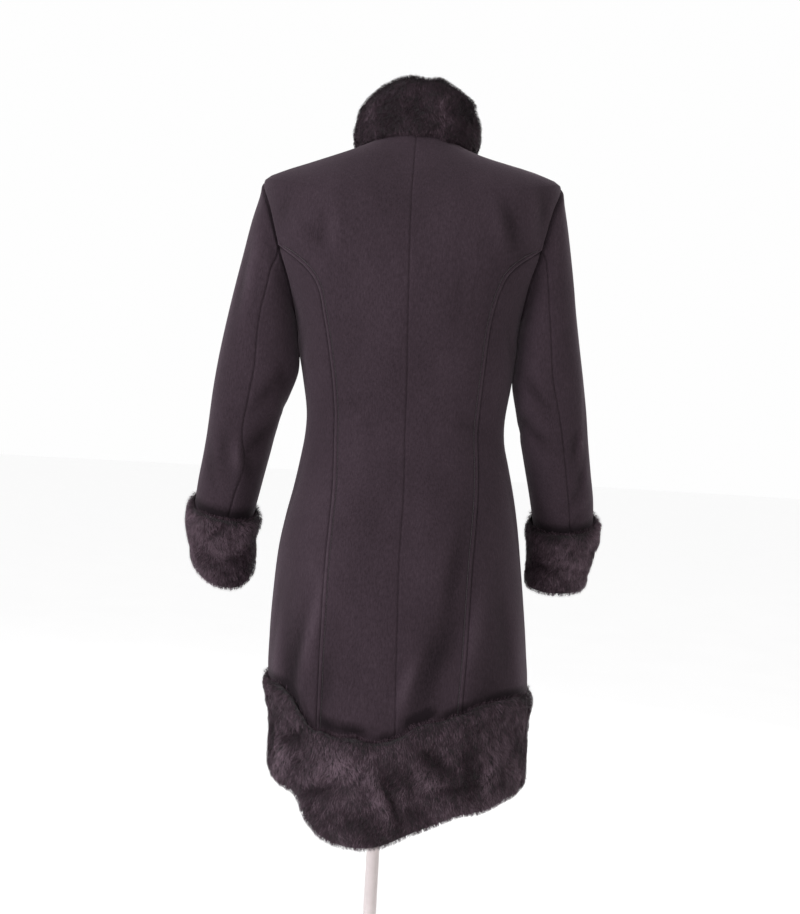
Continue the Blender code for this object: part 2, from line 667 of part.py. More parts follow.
def sleeve_turns(side, ring):
    """Turns of all sleeve columns at a ring, from the inside round the back."""
    back = ring_value(side, "seam", ring)
    front = 360 - FRONT_SLEEVE_SEAM
    step = SLEEVE_SEAM_STEP
    upper_count = 2 * (ARMHOLE_STEPS - step)
    under_count = 2 * step
    upper = [mix(back, front, i / upper_count) for i in range(upper_count + 1)]
    under = [mix(front, back + 360, i / under_count) for i in range(under_count + 1)]
    return upper, under


def sleeve_rings():
    """Ring numbers of the sleeve's rows after the armhole."""
    return [SLEEVE_START] + list(range(2, SLEEVE_END + 1))


def sleeve_panel(name, side, upper):
    """One half of a sleeve, with its first row at the armhole."""
    loop = armhole_loop(side)
    total = 2 * ARMHOLE_STEPS
    step = SLEEVE_SEAM_STEP
    rings = sleeve_rings()
    start = step if upper else total - step
    count = total - 2 * step if upper else 2 * step

    def cell(column, row):
        if row == 0:
            knot = loop[(start + column) % total]
            return knot.point + knot.across * (side * SEAM_GAP), knot.normal
        ring = rings[row - 1]
        spot = (side, sleeve_turns(side, ring)[0 if upper else 1][column], ring)
        return sleeve_point(*spot), sleeve_normal(*spot)

    def seam_edge(column, shift):
        cells = [cell(column, row) for row in range(len(rings) + 1)]
        curve = curve_knots([point for point, _ in cells], [normal for _, normal in cells])
        seat = loop[(start + column) % total]
        round_armhole = seat.across.cross(seat.normal)
        if round_armhole.dot(curve[0].across) < 0:
            round_armhole.negate()
        curve[0] = curve[0]._replace(across=round_armhole)
        return [edge_pair(knot, shift) for knot in curve]

    half = side * SEAM_GAP / 2
    edges = {0: seam_edge(0, -half), count: seam_edge(count, half)}

    def place(column, row, outer):
        if column in edges:
            return edges[column][row][0 if outer else 1]
        point, normal = cell(column, row)
        return point if outer else point - normal * WALL
    return slab(name, count, len(rings), place)


def fur_cuff(name, side):
    """Turned-back fur cuff round the end of a sleeve."""
    def place(column, around):
        ring, out = CUFF_OUTLINE[around]
        upper, under = sleeve_turns(side, ring)
        turn = (upper[:-1] + under[:-1])[column]
        return sleeve_point(side, turn, ring) + sleeve_normal(side, turn, ring) * out
    return tube(name, 2 * ARMHOLE_STEPS, len(CUFF_OUTLINE), place, closed_path=True)


def hem_angles(side, front):
    """Angles of the panels' columns along a quarter of the hem, from the side seam."""
    princess = princess_angle(side, front, 0)
    outer = [mix(side * 90, princess, i / SIDE_COLUMNS) for i in range(SIDE_COLUMNS)]
    if front:
        return outer + front_stops(side, 0)
    return outer + [mix(princess, 0.0, i / CENTRE_COLUMNS) for i in range(CENTRE_COLUMNS + 1)]


def fur_hem(name, angles):
    """A length of the fur hem band, with a column under each column of the panels."""
    trim = math.degrees(SEAM_GAP / 2 / COAT[0].half_width)
    ends = {0: trim, len(angles) - 1: -trim}

    def place(column, around):
        edge = HEM_OUTLINE[around]
        angle = angles[column] + ends.get(column, 0.0)
        level = HEM_LEVEL - BAND_HEIGHT * edge.along
        return coat_point(angle, level) + coat_normal(angle, level) * edge.out
    return tube(name, len(angles) - 1, len(HEM_OUTLINE), place)


def fur_collar(name):
    """Turned-up fur collar round the neckline, open at the centre front."""
    def place(column, around):
        edge = COLLAR_OUTLINE[around]
        reach = 180 - COLLAR_OPENING
        angle = mix(-reach, reach, column / COLLAR_COLUMNS)
        foot = coat_point(angle, NECKLINE)
        if around == 0:
            return foot + coat_normal(angle, NECKLINE) * COLLAR_SEAT
        if around == len(COLLAR_OUTLINE) - 1:
            level = NECKLINE - COLLAR_SEAM_DROP
            return coat_point(angle, level) + coat_normal(angle, level) * COLLAR_SEAM_SEAT
        share = ((1 + math.cos(math.radians(angle))) / 2) ** COLLAR_CURVE
        top = mix(COLLAR_FRONT_TOP, COLLAR_BACK_TOP, share)
        outward = coat_normal(angle, NECKLINE)
        outward.z = 0
        point = foot + outward.normalized() * edge.out
        point.z = mix(foot.z, top, edge.along)
        return point
    return tube(name, COLLAR_COLUMNS, len(COLLAR_OUTLINE), place)


def button(name, level):
    """A plain round button with a raised rim and a shank, on the front lap."""
    mesh = turned_mesh(name, BUTTON_OUTLINE, BUTTON_SIDES)
    row = next(i for i in range(ROW_NECK) if level <= LEVELS[i + 1])
    low, high = LEVELS[row], LEVELS[row + 1]
    place = mix(coat_point(180, low), coat_point(180, high), (level - low) / (high - low))
    normal = coat_normal(180, level)
    turn = normal.to_track_quat("Z", "Y")
    for vertex in mesh.vertices:
        vertex.co = place + normal * REST_GAP + turn @ vertex.co
    return mesh


def turned_mesh(name, outline, steps):
    """A turned solid: an outline of radius and height, spun about Z."""
    bm = bmesh.new()
    points = [bm.verts.new((turn.radius, 0, turn.height)) for turn in outline]
    edges = [bm.edges.new(pair) for pair in zip(points, points[1:])]
    bmesh.ops.spin(bm, geom=points + edges, axis=(0, 0, 1), cent=(0, 0, 0),
                   angle=math.tau, steps=steps, use_merge=True)
    bmesh.ops.remove_doubles(bm, verts=bm.verts[:], dist=MERGE_DISTANCE)
    return closed_mesh(bm, bpy.data.meshes.new(name))


def form_torso(name):
    """The limbless form: rings from its flat underside to the top of its neck."""
    levels = [section.level for section in FORM]

    def place(column, around):
        return ring_point(FORM, 360 * around / FORM_COLUMNS, levels[column])
    return tube(name, len(levels) - 1, FORM_COLUMNS, place)


def form_pole(name):
    """The pole between the base and the torso."""
    bottom, top = BASE_HUB_TOP + SEAM_GAP, FORM[0].level - SEAM_GAP
    outline = (Turn(0, top), Turn(POLE_RADIUS, top), Turn(POLE_RADIUS, bottom), Turn(0, bottom))
    return turned_mesh(name, outline, POLE_SIDES)


def form_base(name):
    """The round base, with a low hub under the pole."""
    return turned_mesh(name, BASE_OUTLINE, BASE_SIDES)


def build():
    """Build the coat and its form."""
    for old in list(bpy.data.objects):
        bpy.data.objects.remove(old, do_unlink=True)
    coat = bpy.data.collections.new("fur_trimmed_coat")
    bpy.context.scene.collection.children.link(coat)
    for side, hand in ((1, "left"), (-1, "right")):
        for maker, title in ((back_centre, "back_centre"), (front_centre, "front_centre")):
            name = f"{title}_{hand}"
            add(name, maker(name, side), WOOL, coat)
        for front, title in ((False, "back_side"), (True, "front_side")):
            name = f"{title}_{hand}"
            add(name, side_panel(name, side, front), WOOL, coat)
        for upper, title in ((True, "upper_sleeve"), (False, "under_sleeve")):
            name = f"{title}_{hand}"
            add(name, sleeve_panel(name, side, upper), WOOL, coat)
        name = f"fur_cuff_{hand}"
        add(name, fur_cuff(name, side), FUR, coat)
    add("fur_collar", fur_collar("fur_collar"), FUR, coat)
    back = hem_angles(-1, False)[:-1] + hem_angles(1, False)[::-1]
    add("fur_hem_back", fur_hem("fur_hem_back", back), FUR, coat)
    left = hem_angles(1, True)[:-2]
    add("fur_hem_left", fur_hem("fur_hem_left", left), FUR, coat)
    right = hem_angles(-1, True)[::-1]
    add("fur_hem_right", fur_hem("fur_hem_right", right), FUR, coat)
    for number in range(BUTTON_COUNT):
        name = f"button_{number + 1}"
        add(name, button(name, BUTTON_TOP - number * BUTTON_PITCH), HORN, coat)
    add("form_torso", form_torso("form_torso"), JERSEY, coat)
    add("form_pole", form_pole("form_pole"), PAINT, coat)
    add("form_base", form_base("form_base"), PAINT, coat)


build()
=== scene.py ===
"""Looks of a fitted wool coat with fur collar, cuffs and hem band, on a dress form.

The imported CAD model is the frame. Every wool panel and fur piece is drawn again
here on the same named sections, finer, with pressed seams, topstitching, creases
and pile. Metres, +Z up, the front faces -Y, and the wearer's left side is +X.
"""

import logging
import math
from collections import namedtuple
from dataclasses import dataclass, field
from enum import Enum
from typing import Callable, Optional, Sequence

import bmesh
import bpy
import numpy as np
from mathutils import Matrix, Vector


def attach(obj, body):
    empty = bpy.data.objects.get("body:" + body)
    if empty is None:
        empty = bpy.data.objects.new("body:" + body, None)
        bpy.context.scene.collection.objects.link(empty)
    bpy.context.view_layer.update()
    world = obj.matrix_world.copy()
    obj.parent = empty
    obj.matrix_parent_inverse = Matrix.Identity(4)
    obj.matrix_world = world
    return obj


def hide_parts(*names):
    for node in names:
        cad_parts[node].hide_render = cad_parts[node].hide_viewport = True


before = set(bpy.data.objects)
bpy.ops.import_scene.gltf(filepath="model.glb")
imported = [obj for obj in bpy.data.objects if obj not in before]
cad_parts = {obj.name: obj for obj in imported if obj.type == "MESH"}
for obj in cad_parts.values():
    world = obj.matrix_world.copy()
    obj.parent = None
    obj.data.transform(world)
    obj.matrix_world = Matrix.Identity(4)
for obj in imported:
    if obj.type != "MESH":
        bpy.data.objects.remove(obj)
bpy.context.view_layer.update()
LOG = logging.getLogger("coat")

# ---- the coat's sizes, as in the CAD: metres and degrees ----
WALL = 0.0025
REST_GAP = 0.0004
HEM_LEVEL = 0.645
BAND_HEIGHT = 0.130
HANG_TOP = 0.800
UNDERARM = 1.150
SHOULDER_TIP = 1.330
NECKLINE = 1.410
PRINCESS_BEND, PRINCESS_TOP = 1.200, 1.240
SHOULDER_SLOPE = 0.034
SLOPE_START, SLOPE_FULL, SLOPE_END = 1.050, 1.200, 1.355
FOLD_FADE = 0.140
FRONT_LAP = 0.030
LAP_EASE_ANGLE = 6.0
ARMHOLE_BACK = 28.4
ARMHOLE_FRONT = 33.0
COLLAR_BACK_TOP, COLLAR_FRONT_TOP = 1.476, 1.392
COLLAR_OPENING = 9.0
COLLAR_CURVE = 1.6
COLLAR_SEAM_DROP = 0.0060
COLLAR_LEAN = 0.0015
SLEEVE_START = 0.8
SLEEVE_END = 13
SLEEVE_TURN = 3
SLEEVE_SEAM_STEP = 4
ARMHOLE_STEPS = 10
FRONT_SLEEVE_SEAM = 62
SLEEVE_SQUARE = 2.2
BUTTON_TOP, BUTTON_PITCH, BUTTON_COUNT = 1.225, 0.120, 5


def table(kind: type, plain: str, *rows: tuple) -> tuple:
    """Rows of a named tuple from rows of numbers, with their lengths in millimetres.

    Args:
        kind: the named tuple.
        plain: its fields that are no lengths.
        rows: numbers in the order of its fields; a short row repeats its first one.
    Returns:
        The rows, in metres.
    """
    full = [row + row[:1] * (len(kind._fields) - len(row)) for row in rows]
    return tuple(kind(*(value if name in plain.split() else value / 1000
                        for name, value in zip(kind._fields, row))) for row in full)


Section = namedtuple(
    "Section", "level half_width back front centre square z_back z_side z_front")
COAT = table(
    Section, "square",
    (515, 166, 148, 146, -26, 2.2), (560, 166, 148, 146, -25.5, 2.2),
    (600, 167.5, 149, 147, -24.5, 2.2), (645, 180, 153, 150, -21.5, 2.2),
    (710, 178.8, 148, 145, -18, 2.2), (770, 174.7, 140, 137, -15.5, 2.2),
    (830, 168.8, 131, 128, -13.7, 2.2), (875, 162, 122, 120, -14.3, 2.2),
    (917, 153.7, 109, 113, -15, 2.2), (959, 145.2, 95, 107, -13.8, 2.2),
    (990, 139.5, 87, 104.5, -12.2, 2.2), (1022, 138.8, 86, 108, -11.8, 2.2),
    (1070, 146, 96, 121, -10.8, 2.2), (1110, 152, 106, 132, -9, 2.3),
    (1150, 156, 114, 136, -7.5, 2.3), (1190, 172, 118, 133, -6.2, 2.4, 1188, 1195, 1185),
    (1240, 194, 119, 124, -4.8, 2.5, 1233, 1252, 1225),
    (1290, 204, 114, 112, -3.8, 2.5, 1276, 1308, 1262),
    (1330, 206, 105, 101, -3.5, 2.4, 1312, 1345, 1292),
    (1350, 178, 97, 93, -3.8, 2.3, 1334, 1359, 1310),
    (1370, 140, 86, 84, -4.2, 2.2, 1357, 1371, 1328),
    (1390, 102, 73, 76, -4.8, 2.1, 1381, 1382, 1345),
    (1410, 71.5, 61, 70, -5.5, 2.0, 1404, 1391, 1358))
Hem = namedtuple("Hem", "angle bottom")
HEM = table(
    Hem, "angle",
    (-180, 515), (-90, 515), (-55, 519), (-37, 513), (-22, 498), (-8, 478), (4, 464), (14, 459),
    (28, 463), (38, 477), (47, 506), (60, 519), (90, 517), (180, 515))
Fold = namedtuple("Fold", "angle lean half_width depth low high")
FOLDS = table(
    Fold, "angle lean half_width",
    (47, 10, 7, 4, 560, 880), (62, 6, 7, -2.5, 560, 860), (-9, -4, 6, 3, 540, 820),
    (12, 4, 8, -3, 480, 800), (-38, -8, 8, 2.8, 560, 860), (-58, -6, 8, -2.2, 560, 850),
    (140, -8, 8, 3, 560, 870), (-138, 9, 8, 3.2, 560, 860))
Princess = namedtuple("Princess", "level back_left back_right front")
PRINCESS = table(
    Princess, "",
    (515, 100, 82, 112), (645, 103, 84, 108), (720, 101, 90, 103), (800, 98, 95, 96),
    (875, 96, 98, 90), (950, 96, 99, 82), (1020, 97, 99, 78), (1106, 106, 106, 86),
    (1150, 113, 112, 92), (1188, 122, 123, 98), (1212, 140, 138, 112), (1240, 179.5, 179.5, 173))
Ring = namedtuple("Ring", "number z_out z_in x_out x_in middle depth tilt seam")
SLEEVE_LEFT = table(
    Ring, "number tilt seam",
    (0, 1343, 1149, 201.5, 149, 0, 58, 0, 82), (1, 1322, 1154, 208, 149, 1, 62, 0, 83),
    (2, 1285, 1149, 216.5, 147.8, 2, 64.5, 0, 86), (3, 1235, 1134, 226.2, 145.2, 3, 65, 0, 89),
    (4, 1180, 1117, 237.2, 143.2, 4, 64, 0, 91.5), (5, 1130, 1098, 246.2, 141.2, 5, 61.5, 0, 91),
    (6, 1085, 1072, 253.5, 142, 5, 58.5, 2, 88), (7, 1043, 1036, 258.9, 154, 3, 55, 6, 85.5),
    (8, 1001, 998, 263.7, 166.8, -5, 51.5, 14, 83.5), (9, 959, 956, 270.5, 177.5, -19, 49, 20, 69),
    (10, 916, 913, 279.2, 188.5, -36, 46.5, 22, 74), (11, 868, 843, 285.5, 204, -54, 44, 19, 75),
    (12, 836, 820, 285.5, 204.5, -70, 43.5, 30, 75), (13, 813, 793, 284.5, 204, -82, 46, 46, 75),
    (14, 795, 772, 283, 205, -90, 46, 46, 75))
SLEEVE_RIGHT = table(
    Ring, "number tilt seam",
    (0, 1343, 1149, 210, 163, 0, 58, 0, 86), (1, 1322, 1154, 216.5, 163.2, 1, 62, 0, 87.5),
    (2, 1285, 1149, 224, 161.8, 2, 64.5, 0, 88.5), (3, 1235, 1134, 231.8, 160, 3, 65, 0, 89.5),
    (4, 1180, 1117, 240, 160.4, 4, 64, 0, 90), (5, 1130, 1098, 248, 158.8, 5, 61.5, 0, 90),
    (6, 1085, 1072, 255.8, 158.2, 5, 58.5, 2, 91.5), (7, 1043, 1036, 262.8, 165.5, 3, 55, 6, 96),
    (8, 1001, 998, 269.4, 174, -5, 51.5, 14, 99.5), (9, 959, 956, 277.6, 184.8, -19, 49, 20, 99.5),
    (10, 916, 913, 286.5, 196, -36, 46.5, 22, 98), (11, 872, 861, 289.5, 207, -54, 44, 24, 96),
    (12, 831, 825, 285.5, 208.5, -72, 43, 20, 95), (13, 797, 794, 282, 208, -84.5, 42.5, 12, 95),
    (14, 776, 773, 281, 208, -92, 42.5, 12, 95))
Edge = namedtuple("Edge", "along out")
CUFF_OUTLINE = table(
    Edge, "along",
    (13.25, 0.4), (13.0, 0.4), (12.0, 0.4), (11.0, 0.6), (10.66, 2.4), (10.58, 5.2), (10.58, 9),
    (10.74, 11.8), (11.2, 11.2), (12.1, 9.2), (12.9, 8.8), (13.2, 7.2), (13.32, 4))
HEM_OUTLINE = table(
    Edge, "along",
    (1.0, -2.5), (0.5, -2.5), (0.0032, -2.5), (0.0032, 0.6), (-0.035, 3.6), (-0.03, 8),
    (0.05, 11.8), (0.3, 13.5), (0.6, 14.5), (0.88, 14.2), (0.985, 10.5), (1.03, 4))
COLLAR_OUTLINE = table(
    Edge, "along",
    (0.0, 0.4), (0.5, 1), (0.88, 3), (0.985, 7), (1.0, 11), (0.955, 15.8), (0.8, 18.5),
    (0.45, 16.8), (0.13, 14), (0.0, 10))

# ---- seams, stitches and creases that only show here ----
# The _SHADE, _SHADOW and _LIGHT values paint shade, shadow and light into the wool's colour,
# beside the real relief.
SEAM_DIP, SEAM_HALF, SEAM_LINE = 0.0012, 0.0015, 0.0009
SEAM_SHADE, PLAIN_SEAM_SHADE, SLEEVE_SEAM_SHADE = 0.62, 0.34, 0.55
STITCH_LINE, STITCH_DIP, STITCH_HALF = 0.0062, 0.0006, 0.0009
STITCH_SWELL, STITCH_SHADE, RIDGE_LIGHT = 0.0006, 0.50, 0.26
ARM_DIP, ARM_HALF, ARM_SHADE = 0.0014, 0.0024, 0.5
EDGE_ROLL, EDGE_ROLL_HALF = 0.0008, 0.0010
CREASE_SHADE = 0.0036
BODY_CREASE_REACH, SLEEVE_CREASE_REACH = 0.03, 0.02
CREASE_END, CREASE_NUDGE = 0.02, 0.1
UPWARDS = np.array([0.0, 0.0, 1.0])
NARROWEST, EDGE_PART = 0.004, 0.42
SPREAD_SAMPLES, CENTRE_STEPS, SIDE_STEPS = 33, 24, 15
UPPER_STEPS, UNDER_STEPS, UPPER_WIDTH, UNDER_WIDTH = 26, 14, 0.20, 0.11
SLEEVE_ROWS, SLEEVE_ROWS_START, SEAT_STEPS, SEAT_BLEND = 74, 0.009, 8, 0.006
MIDDLE_SAMPLES, MIDDLE_TURN = 60, 20.0
SKIRT_ROWS, ARMHOLE_ROWS, SHOULDER_ROWS = 52, 35, 11
LEVEL_NUDGE, ANGLE_NUDGE, RING_NUDGE, TURN_NUDGE = 0.0015, 0.8, 0.02, 1.0
TINY, WELD, WIDEST_SHARE, OUTLINE_SAMPLES = 1e-12, 0.00001, 0.9999, 400
ARM_END, LEAST_SQUARE, STITCH_ROOM, STITCH_NUDGE = 0.003, 0.09, 1.3, 0.001
FEWEST_STITCHES = 4
STITCH_SIDES, STITCH_SWOLLEN, CAP_CENTRE = 5, 1.35, 0.01
FUR_SHADOW, FUR_SHADOW_UP, FUR_SHADOW_HALF = 1.7, 0.0090, 0.0034
CUFF_SHADOW_RING, CUFF_SHADOW_HALF = 10.50, 0.14
# Painted shade: a fur dent this deep darkens its strands by a whole tone, and a swell as high
# lightens them.
DENT_SHADE = 0.0090
SEAM_RAISE = 0.9
HEAD_SWELL, HEAD_PLACE, HEAD_HALF = 0.0014, 0.0090, 0.0080
EDGE_STEPS = (0.0, 0.0007, 0.0015, 0.0024, 0.0036, 0.0048, 0.0056, 0.0063, 0.0071, 0.0085, 0.012)

# Creases on the body: middle (angle, level), half length, half width, depth (a ridge
# is negative) and how far they lean from upright, in degrees
Crease = namedtuple("Crease", "angle level half_length half_width depth lean")
BODY_CREASES = table(
    Crease, "angle lean",
    (-38.5, 1272, 30, 8.5, 3, -17), (-32, 1274, 30, 9, -1.6, -17), (-55, 1292, 24, 8.5, 2.6, 2),
    (-49, 1290, 26, 8, -1.4, 0), (-48, 1228, 20, 7, 1.4, 30), (34, 1261, 32, 8.5, 1.6, -3),
    (39, 1259, 16, 8, 1, -45), (28, 1262, 30, 8, -1.4, -3), (52, 1290, 26, 8, 1.4, 8),
    (33, 1030, 20, 9, 1, 70), (-36, 1010, 24, 9, 1.2, -72), (-62, 1120, 26, 8, 1.8, -30),
    (66, 1115, 26, 8, 1.6, 34), (74, 900, 60, 10, 1.6, 8), (-72, 880, 70, 11, 1.6, -6),
    (38.5, 738, 60, 8.5, -3.2, 10), (45.5, 714, 50, 11, 2.8, 10), (30, 700, 45, 9, 1.6, 6),
    (66, 720, 60, 9, 2.4, 6), (-17, 722, 60, 17, 3.2, 21), (-4.5, 702, 34, 9, -3.4, 17),
    (-24, 808, 55, 11, 2.4, 11), (-33, 740, 60, 12, -2.2, 12), (-52, 730, 60, 12, 2.2, -6),
    (121, 1215, 26, 7, 2, 28), (-124, 1225, 28, 8, 2, -26), (139, 1280, 24, 8, 1.6, 16),
    (-141, 1272, 26, 8, 1.6, -20), (128, 1020, 26, 9, 1.4, 68), (-131, 1006, 24, 9, 1.4, -66),
    (158, 780, 90, 13, 3, 5), (150, 730, 60, 11, -2.4, 6), (-152, 760, 80, 12, 3, -7),
    (-144, 720, 60, 11, -2.4, -8), (118, 740, 70, 12, 2.6, -8), (-116, 750, 66, 12, 2.6, 9))
# Creases on a sleeve: middle (turn, ring), half length along the crease, half width,
# depth, and lean in degrees from the sleeve's own direction
SleeveCrease = namedtuple("SleeveCrease", "side turn ring half_length half_width depth lean")
SLEEVE_CREASES = table(
    SleeveCrease, "side turn ring lean",
    (-1, 131, 7.96, 22, 4.5, -2.8, -11), (-1, 120, 7.9, 22, 5.5, 2.6, -11),
    (-1, 138, 8.9, 13, 4, -2.6, -16), (-1, 126, 8.95, 14, 5, 2.6, -16),
    (-1, 127, 9.82, 16, 4.5, -2.6, -42), (-1, 118, 10.05, 18, 5.5, 2.4, -44),
    (-1, 112, 9.45, 14, 6, 1.8, -35), (-1, 152, 7.0, 30, 8, 2, -8), (-1, 60, 6.3, 26, 8, 2.4, 30),
    (-1, 52, 7.6, 22, 8, 2.4, 48), (-1, 20, 7.4, 22, 7, 3.2, -62), (-1, -30, 8.0, 26, 7, 3.4, -70),
    (-1, -52, 8.9, 26, 7, 3, -62), (-1, -70, 6.6, 30, 9, 2.4, 40), (-1, 200, 4.0, 50, 11, 2, 8),
    (-1, 150, 3.4, 46, 10, -1.6, -6), (1, 122, 3.2, 50, 9, -2.4, 3), (1, 134, 3.6, 50, 10, 2.2, 3),
    (1, 84, 8.75, 22, 7.5, -3, 14), (1, 58, 9.15, 24, 8, 2.4, 20), (1, 108, 8.6, 30, 8, 1.8, 10),
    (1, 60, 6.8, 30, 9, 2.2, -24), (1, 52, 8.2, 28, 9, 2.6, -30), (1, 128, 9.2, 30, 8, 2, 20),
    (1, 40, 6.4, 24, 8, 2.6, 38), (1, 8, 7.2, 22, 7, 3.2, 66), (1, -34, 7.9, 26, 7, 3.4, 70),
    (1, -56, 8.8, 26, 7, 2.8, 60), (1, -76, 6.4, 30, 9, 2.4, -42), (1, 204, 4.4, 50, 11, 2, -8))
# Dents and swells of the fur in world places: middle, half sizes across and along
# the fold, depth (a swell is negative) and lean from upright, in degrees
Dent = namedtuple("Dent", "x z front half_width half_length depth lean")
FUR_DENTS = table(
    Dent, "front lean",
    (108, 594, False, 10, 22, 5, 50), (78, 530, False, 8, 26, 5.5, 66),
    (128, 560, False, 12, 34, -4, 10), (142, 575, False, 6, 50, 4, 2),
    (58, 560, False, 18, 30, -3.8, 40), (-18, 532, False, 6, 34, 6.2, -22),
    (-4, 545, False, 12, 36, -3.8, -22), (-76, 580, False, 8, 28, 5.2, -56),
    (-64, 558, False, 12, 30, -3.6, -50), (-120, 575, False, 10, 40, 3.6, -8),
    (-145, 560, False, 14, 30, -3.4, 0), (-100, 545, False, 6, 30, 3.6, 84),
    (20, 500, False, 14, 24, 3.4, 80), (-50, 512, False, 12, 30, 3.4, -70),
    (90, 585, True, 9, 30, 5, 36), (50, 560, True, 14, 34, -3.8, 20),
    (-10, 575, True, 10, 26, 3.6, 64), (-60, 570, True, 9, 32, 4.8, -34),
    (-110, 590, True, 10, 26, 4.4, -58), (-130, 550, True, 14, 30, -3.6, -14),
    (135, 560, True, 10, 34, 4, 12), (241, 848, False, 6, 18, 4.2, 50),
    (228, 806, False, 7, 16, 4, 62), (212, 830, False, 8, 16, -2.6, 30),
    (-238, 868, False, 6, 14, 3.6, 70), (-219, 822, False, 6, 16, 3.6, -60),
    (-258, 832, False, 9, 18, -2.6, -70), (240, 830, True, 7, 18, 3.8, -40),
    (-245, 840, True, 7, 18, 3.8, 44), (26, 1426, False, 18, 18, 3, 0),
    (-44, 1446, False, 10, 14, -2.8, 20), (-66, 1414, False, 10, 12, 2.8, 0),
    (58, 1430, False, 8, 16, -2.4, 0))
# How far the band's upper edge stands above its seam, the collar's top above the
# CAD's and the band's foot above the CAD's, by angle round the coat
EdgeRise = namedtuple("EdgeRise", "angle rise")
BAND_EDGE = table(
    EdgeRise, "angle",
    (-180, 0), (-120, 3), (-88, -2), (-60, 1), (-46, 2), (-34, 5), (-26, 2), (-20, 3), (-14, 9),
    (-8, 12), (-3, 7), (3, 3), (10, 6), (17, 11), (24, 9), (30, 10), (36, 4), (40, 7), (46, 1),
    (56, 3), (70, 0), (84, 5), (110, 1), (140, 4), (180, 0))
COLLAR_RISE = table(
    EdgeRise, "angle",
    (-180, 0), (-110, 1), (-84, 6), (-60, 9), (-40, 6), (-20, 2), (0, 1), (40, 3), (80, 2),
    (180, 0))
BAND_FOOT = table(
    EdgeRise, "angle",
    (-180, 0), (-62, 0), (-47, -6), (-38, -7), (-29, 0), (-19, 3), (-6, 6), (6, 4), (24, 1),
    (40, 0), (180, 0))
# Share by which the band is thinner where it bends round each side, and where that is
BAND_PINCH, BAND_CORNER, BAND_CORNER_HALF = 0.45, 87.0, 17.0

# ---- buttons ----
BUTTON_FACE = 0.0053
Turned = namedtuple("Turned", "radius height")
BUTTON_RIM = table(
    Turned, "",
    (8.7, 5.3), (9.4, 6), (10.2, 6.7), (10.9, 7), (11.8, 7.1), (12.6, 7), (13.4, 6.2), (14, 5),
    (13.6, 3.8), (12.3, 2.7), (9.6, 2.5))
BUTTON_BORE = table(Turned, "", (1.25, 5.3), (1.05, 5), (1, 2.8), (1.1, 2.5))
HOLE_AWAY = 0.0021
BUTTON_HOLES = ((HOLE_AWAY, HOLE_AWAY), (-HOLE_AWAY, HOLE_AWAY),
                (-HOLE_AWAY, -HOLE_AWAY), (HOLE_AWAY, -HOLE_AWAY))
RIM_SIDES, BORE_SIDES = 44, 12
CROSS_HALF, CROSS_APART, CROSS_RISE, CROSS_EXTRA = 0.00036, 0.00034, 0.0004, 0.0008
SHANK_STITCHES, SHANK_ROUND, SHANK_RADIUS, SHANK_PITCH = 48, 10, 0.0016, 0.00052
SHANK_START, SHANK_THREAD = 0.0001, (0.0006, 0.00034, 0.0012)
HOLE_HALF, HOLE_WIDTH, HOLE_SHIFT, HOLE_PITCH = 0.0150, 0.0012, 0.0085, 0.00085
HOLE_THREAD, HOLE_REACH, HOLE_RISE = 0.00034, 1.25, 0.0002
HOLE_FAN, HOLE_FAN_STEP = 75, 15.0
FRONT_REACH, FRONT_SAMPLES, FRONT_TOP, FRONT_LEVELS = 30, 241, 1.30, 80


class Side(Enum):
    """A side of the wearer, as the sign of X."""
    LEFT = 1
    RIGHT = -1

    @property
    def hand(self) -> str:
        """The side's name in node names."""
        return self.name.lower()


class Held(Enum):
    HUNG = "hung"
    FOLDED = "folded"


# ---- smooth tables and surfaces ----

def ease(low: float, high: float, value: np.ndarray) -> np.ndarray:
    """A smooth step: 0 for values below low, 1 above high."""
    t = np.clip((np.asarray(value, float) - low) / (high - low), 0.0, 1.0)
    return t * t * (3 - 2 * t)


def bump(distance: np.ndarray, half: float) -> np.ndarray:
    """A round bump of height 1 that is as wide as half on each side."""
    return np.exp(-(np.asarray(distance) / half) ** 2)


def unit(vectors: np.ndarray) -> np.ndarray:
    """Vectors of length 1 in the same directions; the last axis is x, y and z."""
    return vectors / np.maximum(np.linalg.norm(vectors, axis=-1, keepdims=True), TINY)


def curve(control: np.ndarray, keys: np.ndarray, values: np.ndarray) -> np.ndarray:
    """Smooth curve through control rows, as a cubic with shared slopes.

    Args:
        control: rows of numbers or points, the row axis first.
        keys: rising key of each row.
        values: keys to read the curve at.
    Returns:
        Rows at the values.
    """
    last, wide = len(keys) - 1, (1,) * (control.ndim - 1)
    high = np.minimum(np.arange(last + 1) + 1, last)
    low = np.maximum(np.arange(last + 1) - 1, 0)
    slope = (control[high] - control[low]) / (keys[high] - keys[low]).reshape((-1,) + wide)
    i = np.clip(np.searchsorted(keys, values, side="left") - 1, 0, last - 1)
    span = (keys[i + 1] - keys[i]).reshape(values.shape + wide)
    t = (values - keys[i]).reshape(values.shape + wide) / span
    rise = t * t * (3 - 2 * t)
    return (control[i] * (1 - rise) + control[i + 1] * rise
            + span * (slope[i] * t * (1 - t) ** 2 - slope[i + 1] * t * t * (1 - t)))


def lengths_along(points: np.ndarray) -> np.ndarray:
    """Length of a line of points, or of each row of them, up to each point."""
    steps = np.linalg.norm(np.diff(points, axis=-2), axis=-1)
    return np.concatenate([np.zeros_like(steps[..., :1]), np.cumsum(steps, axis=-1)], axis=-1)


def squared(across: np.ndarray, along: np.ndarray, power: np.ndarray) -> np.ndarray:
    """Reach of a rounded square in a direction; power 2 is a circle."""
    return (np.abs(across) ** power + np.abs(along) ** power) ** (-1 / power)


def turned(angle: np.ndarray) -> np.ndarray:
    """Angles brought between -180 and 180 degrees."""
    return (angle + 180) % 360 - 180


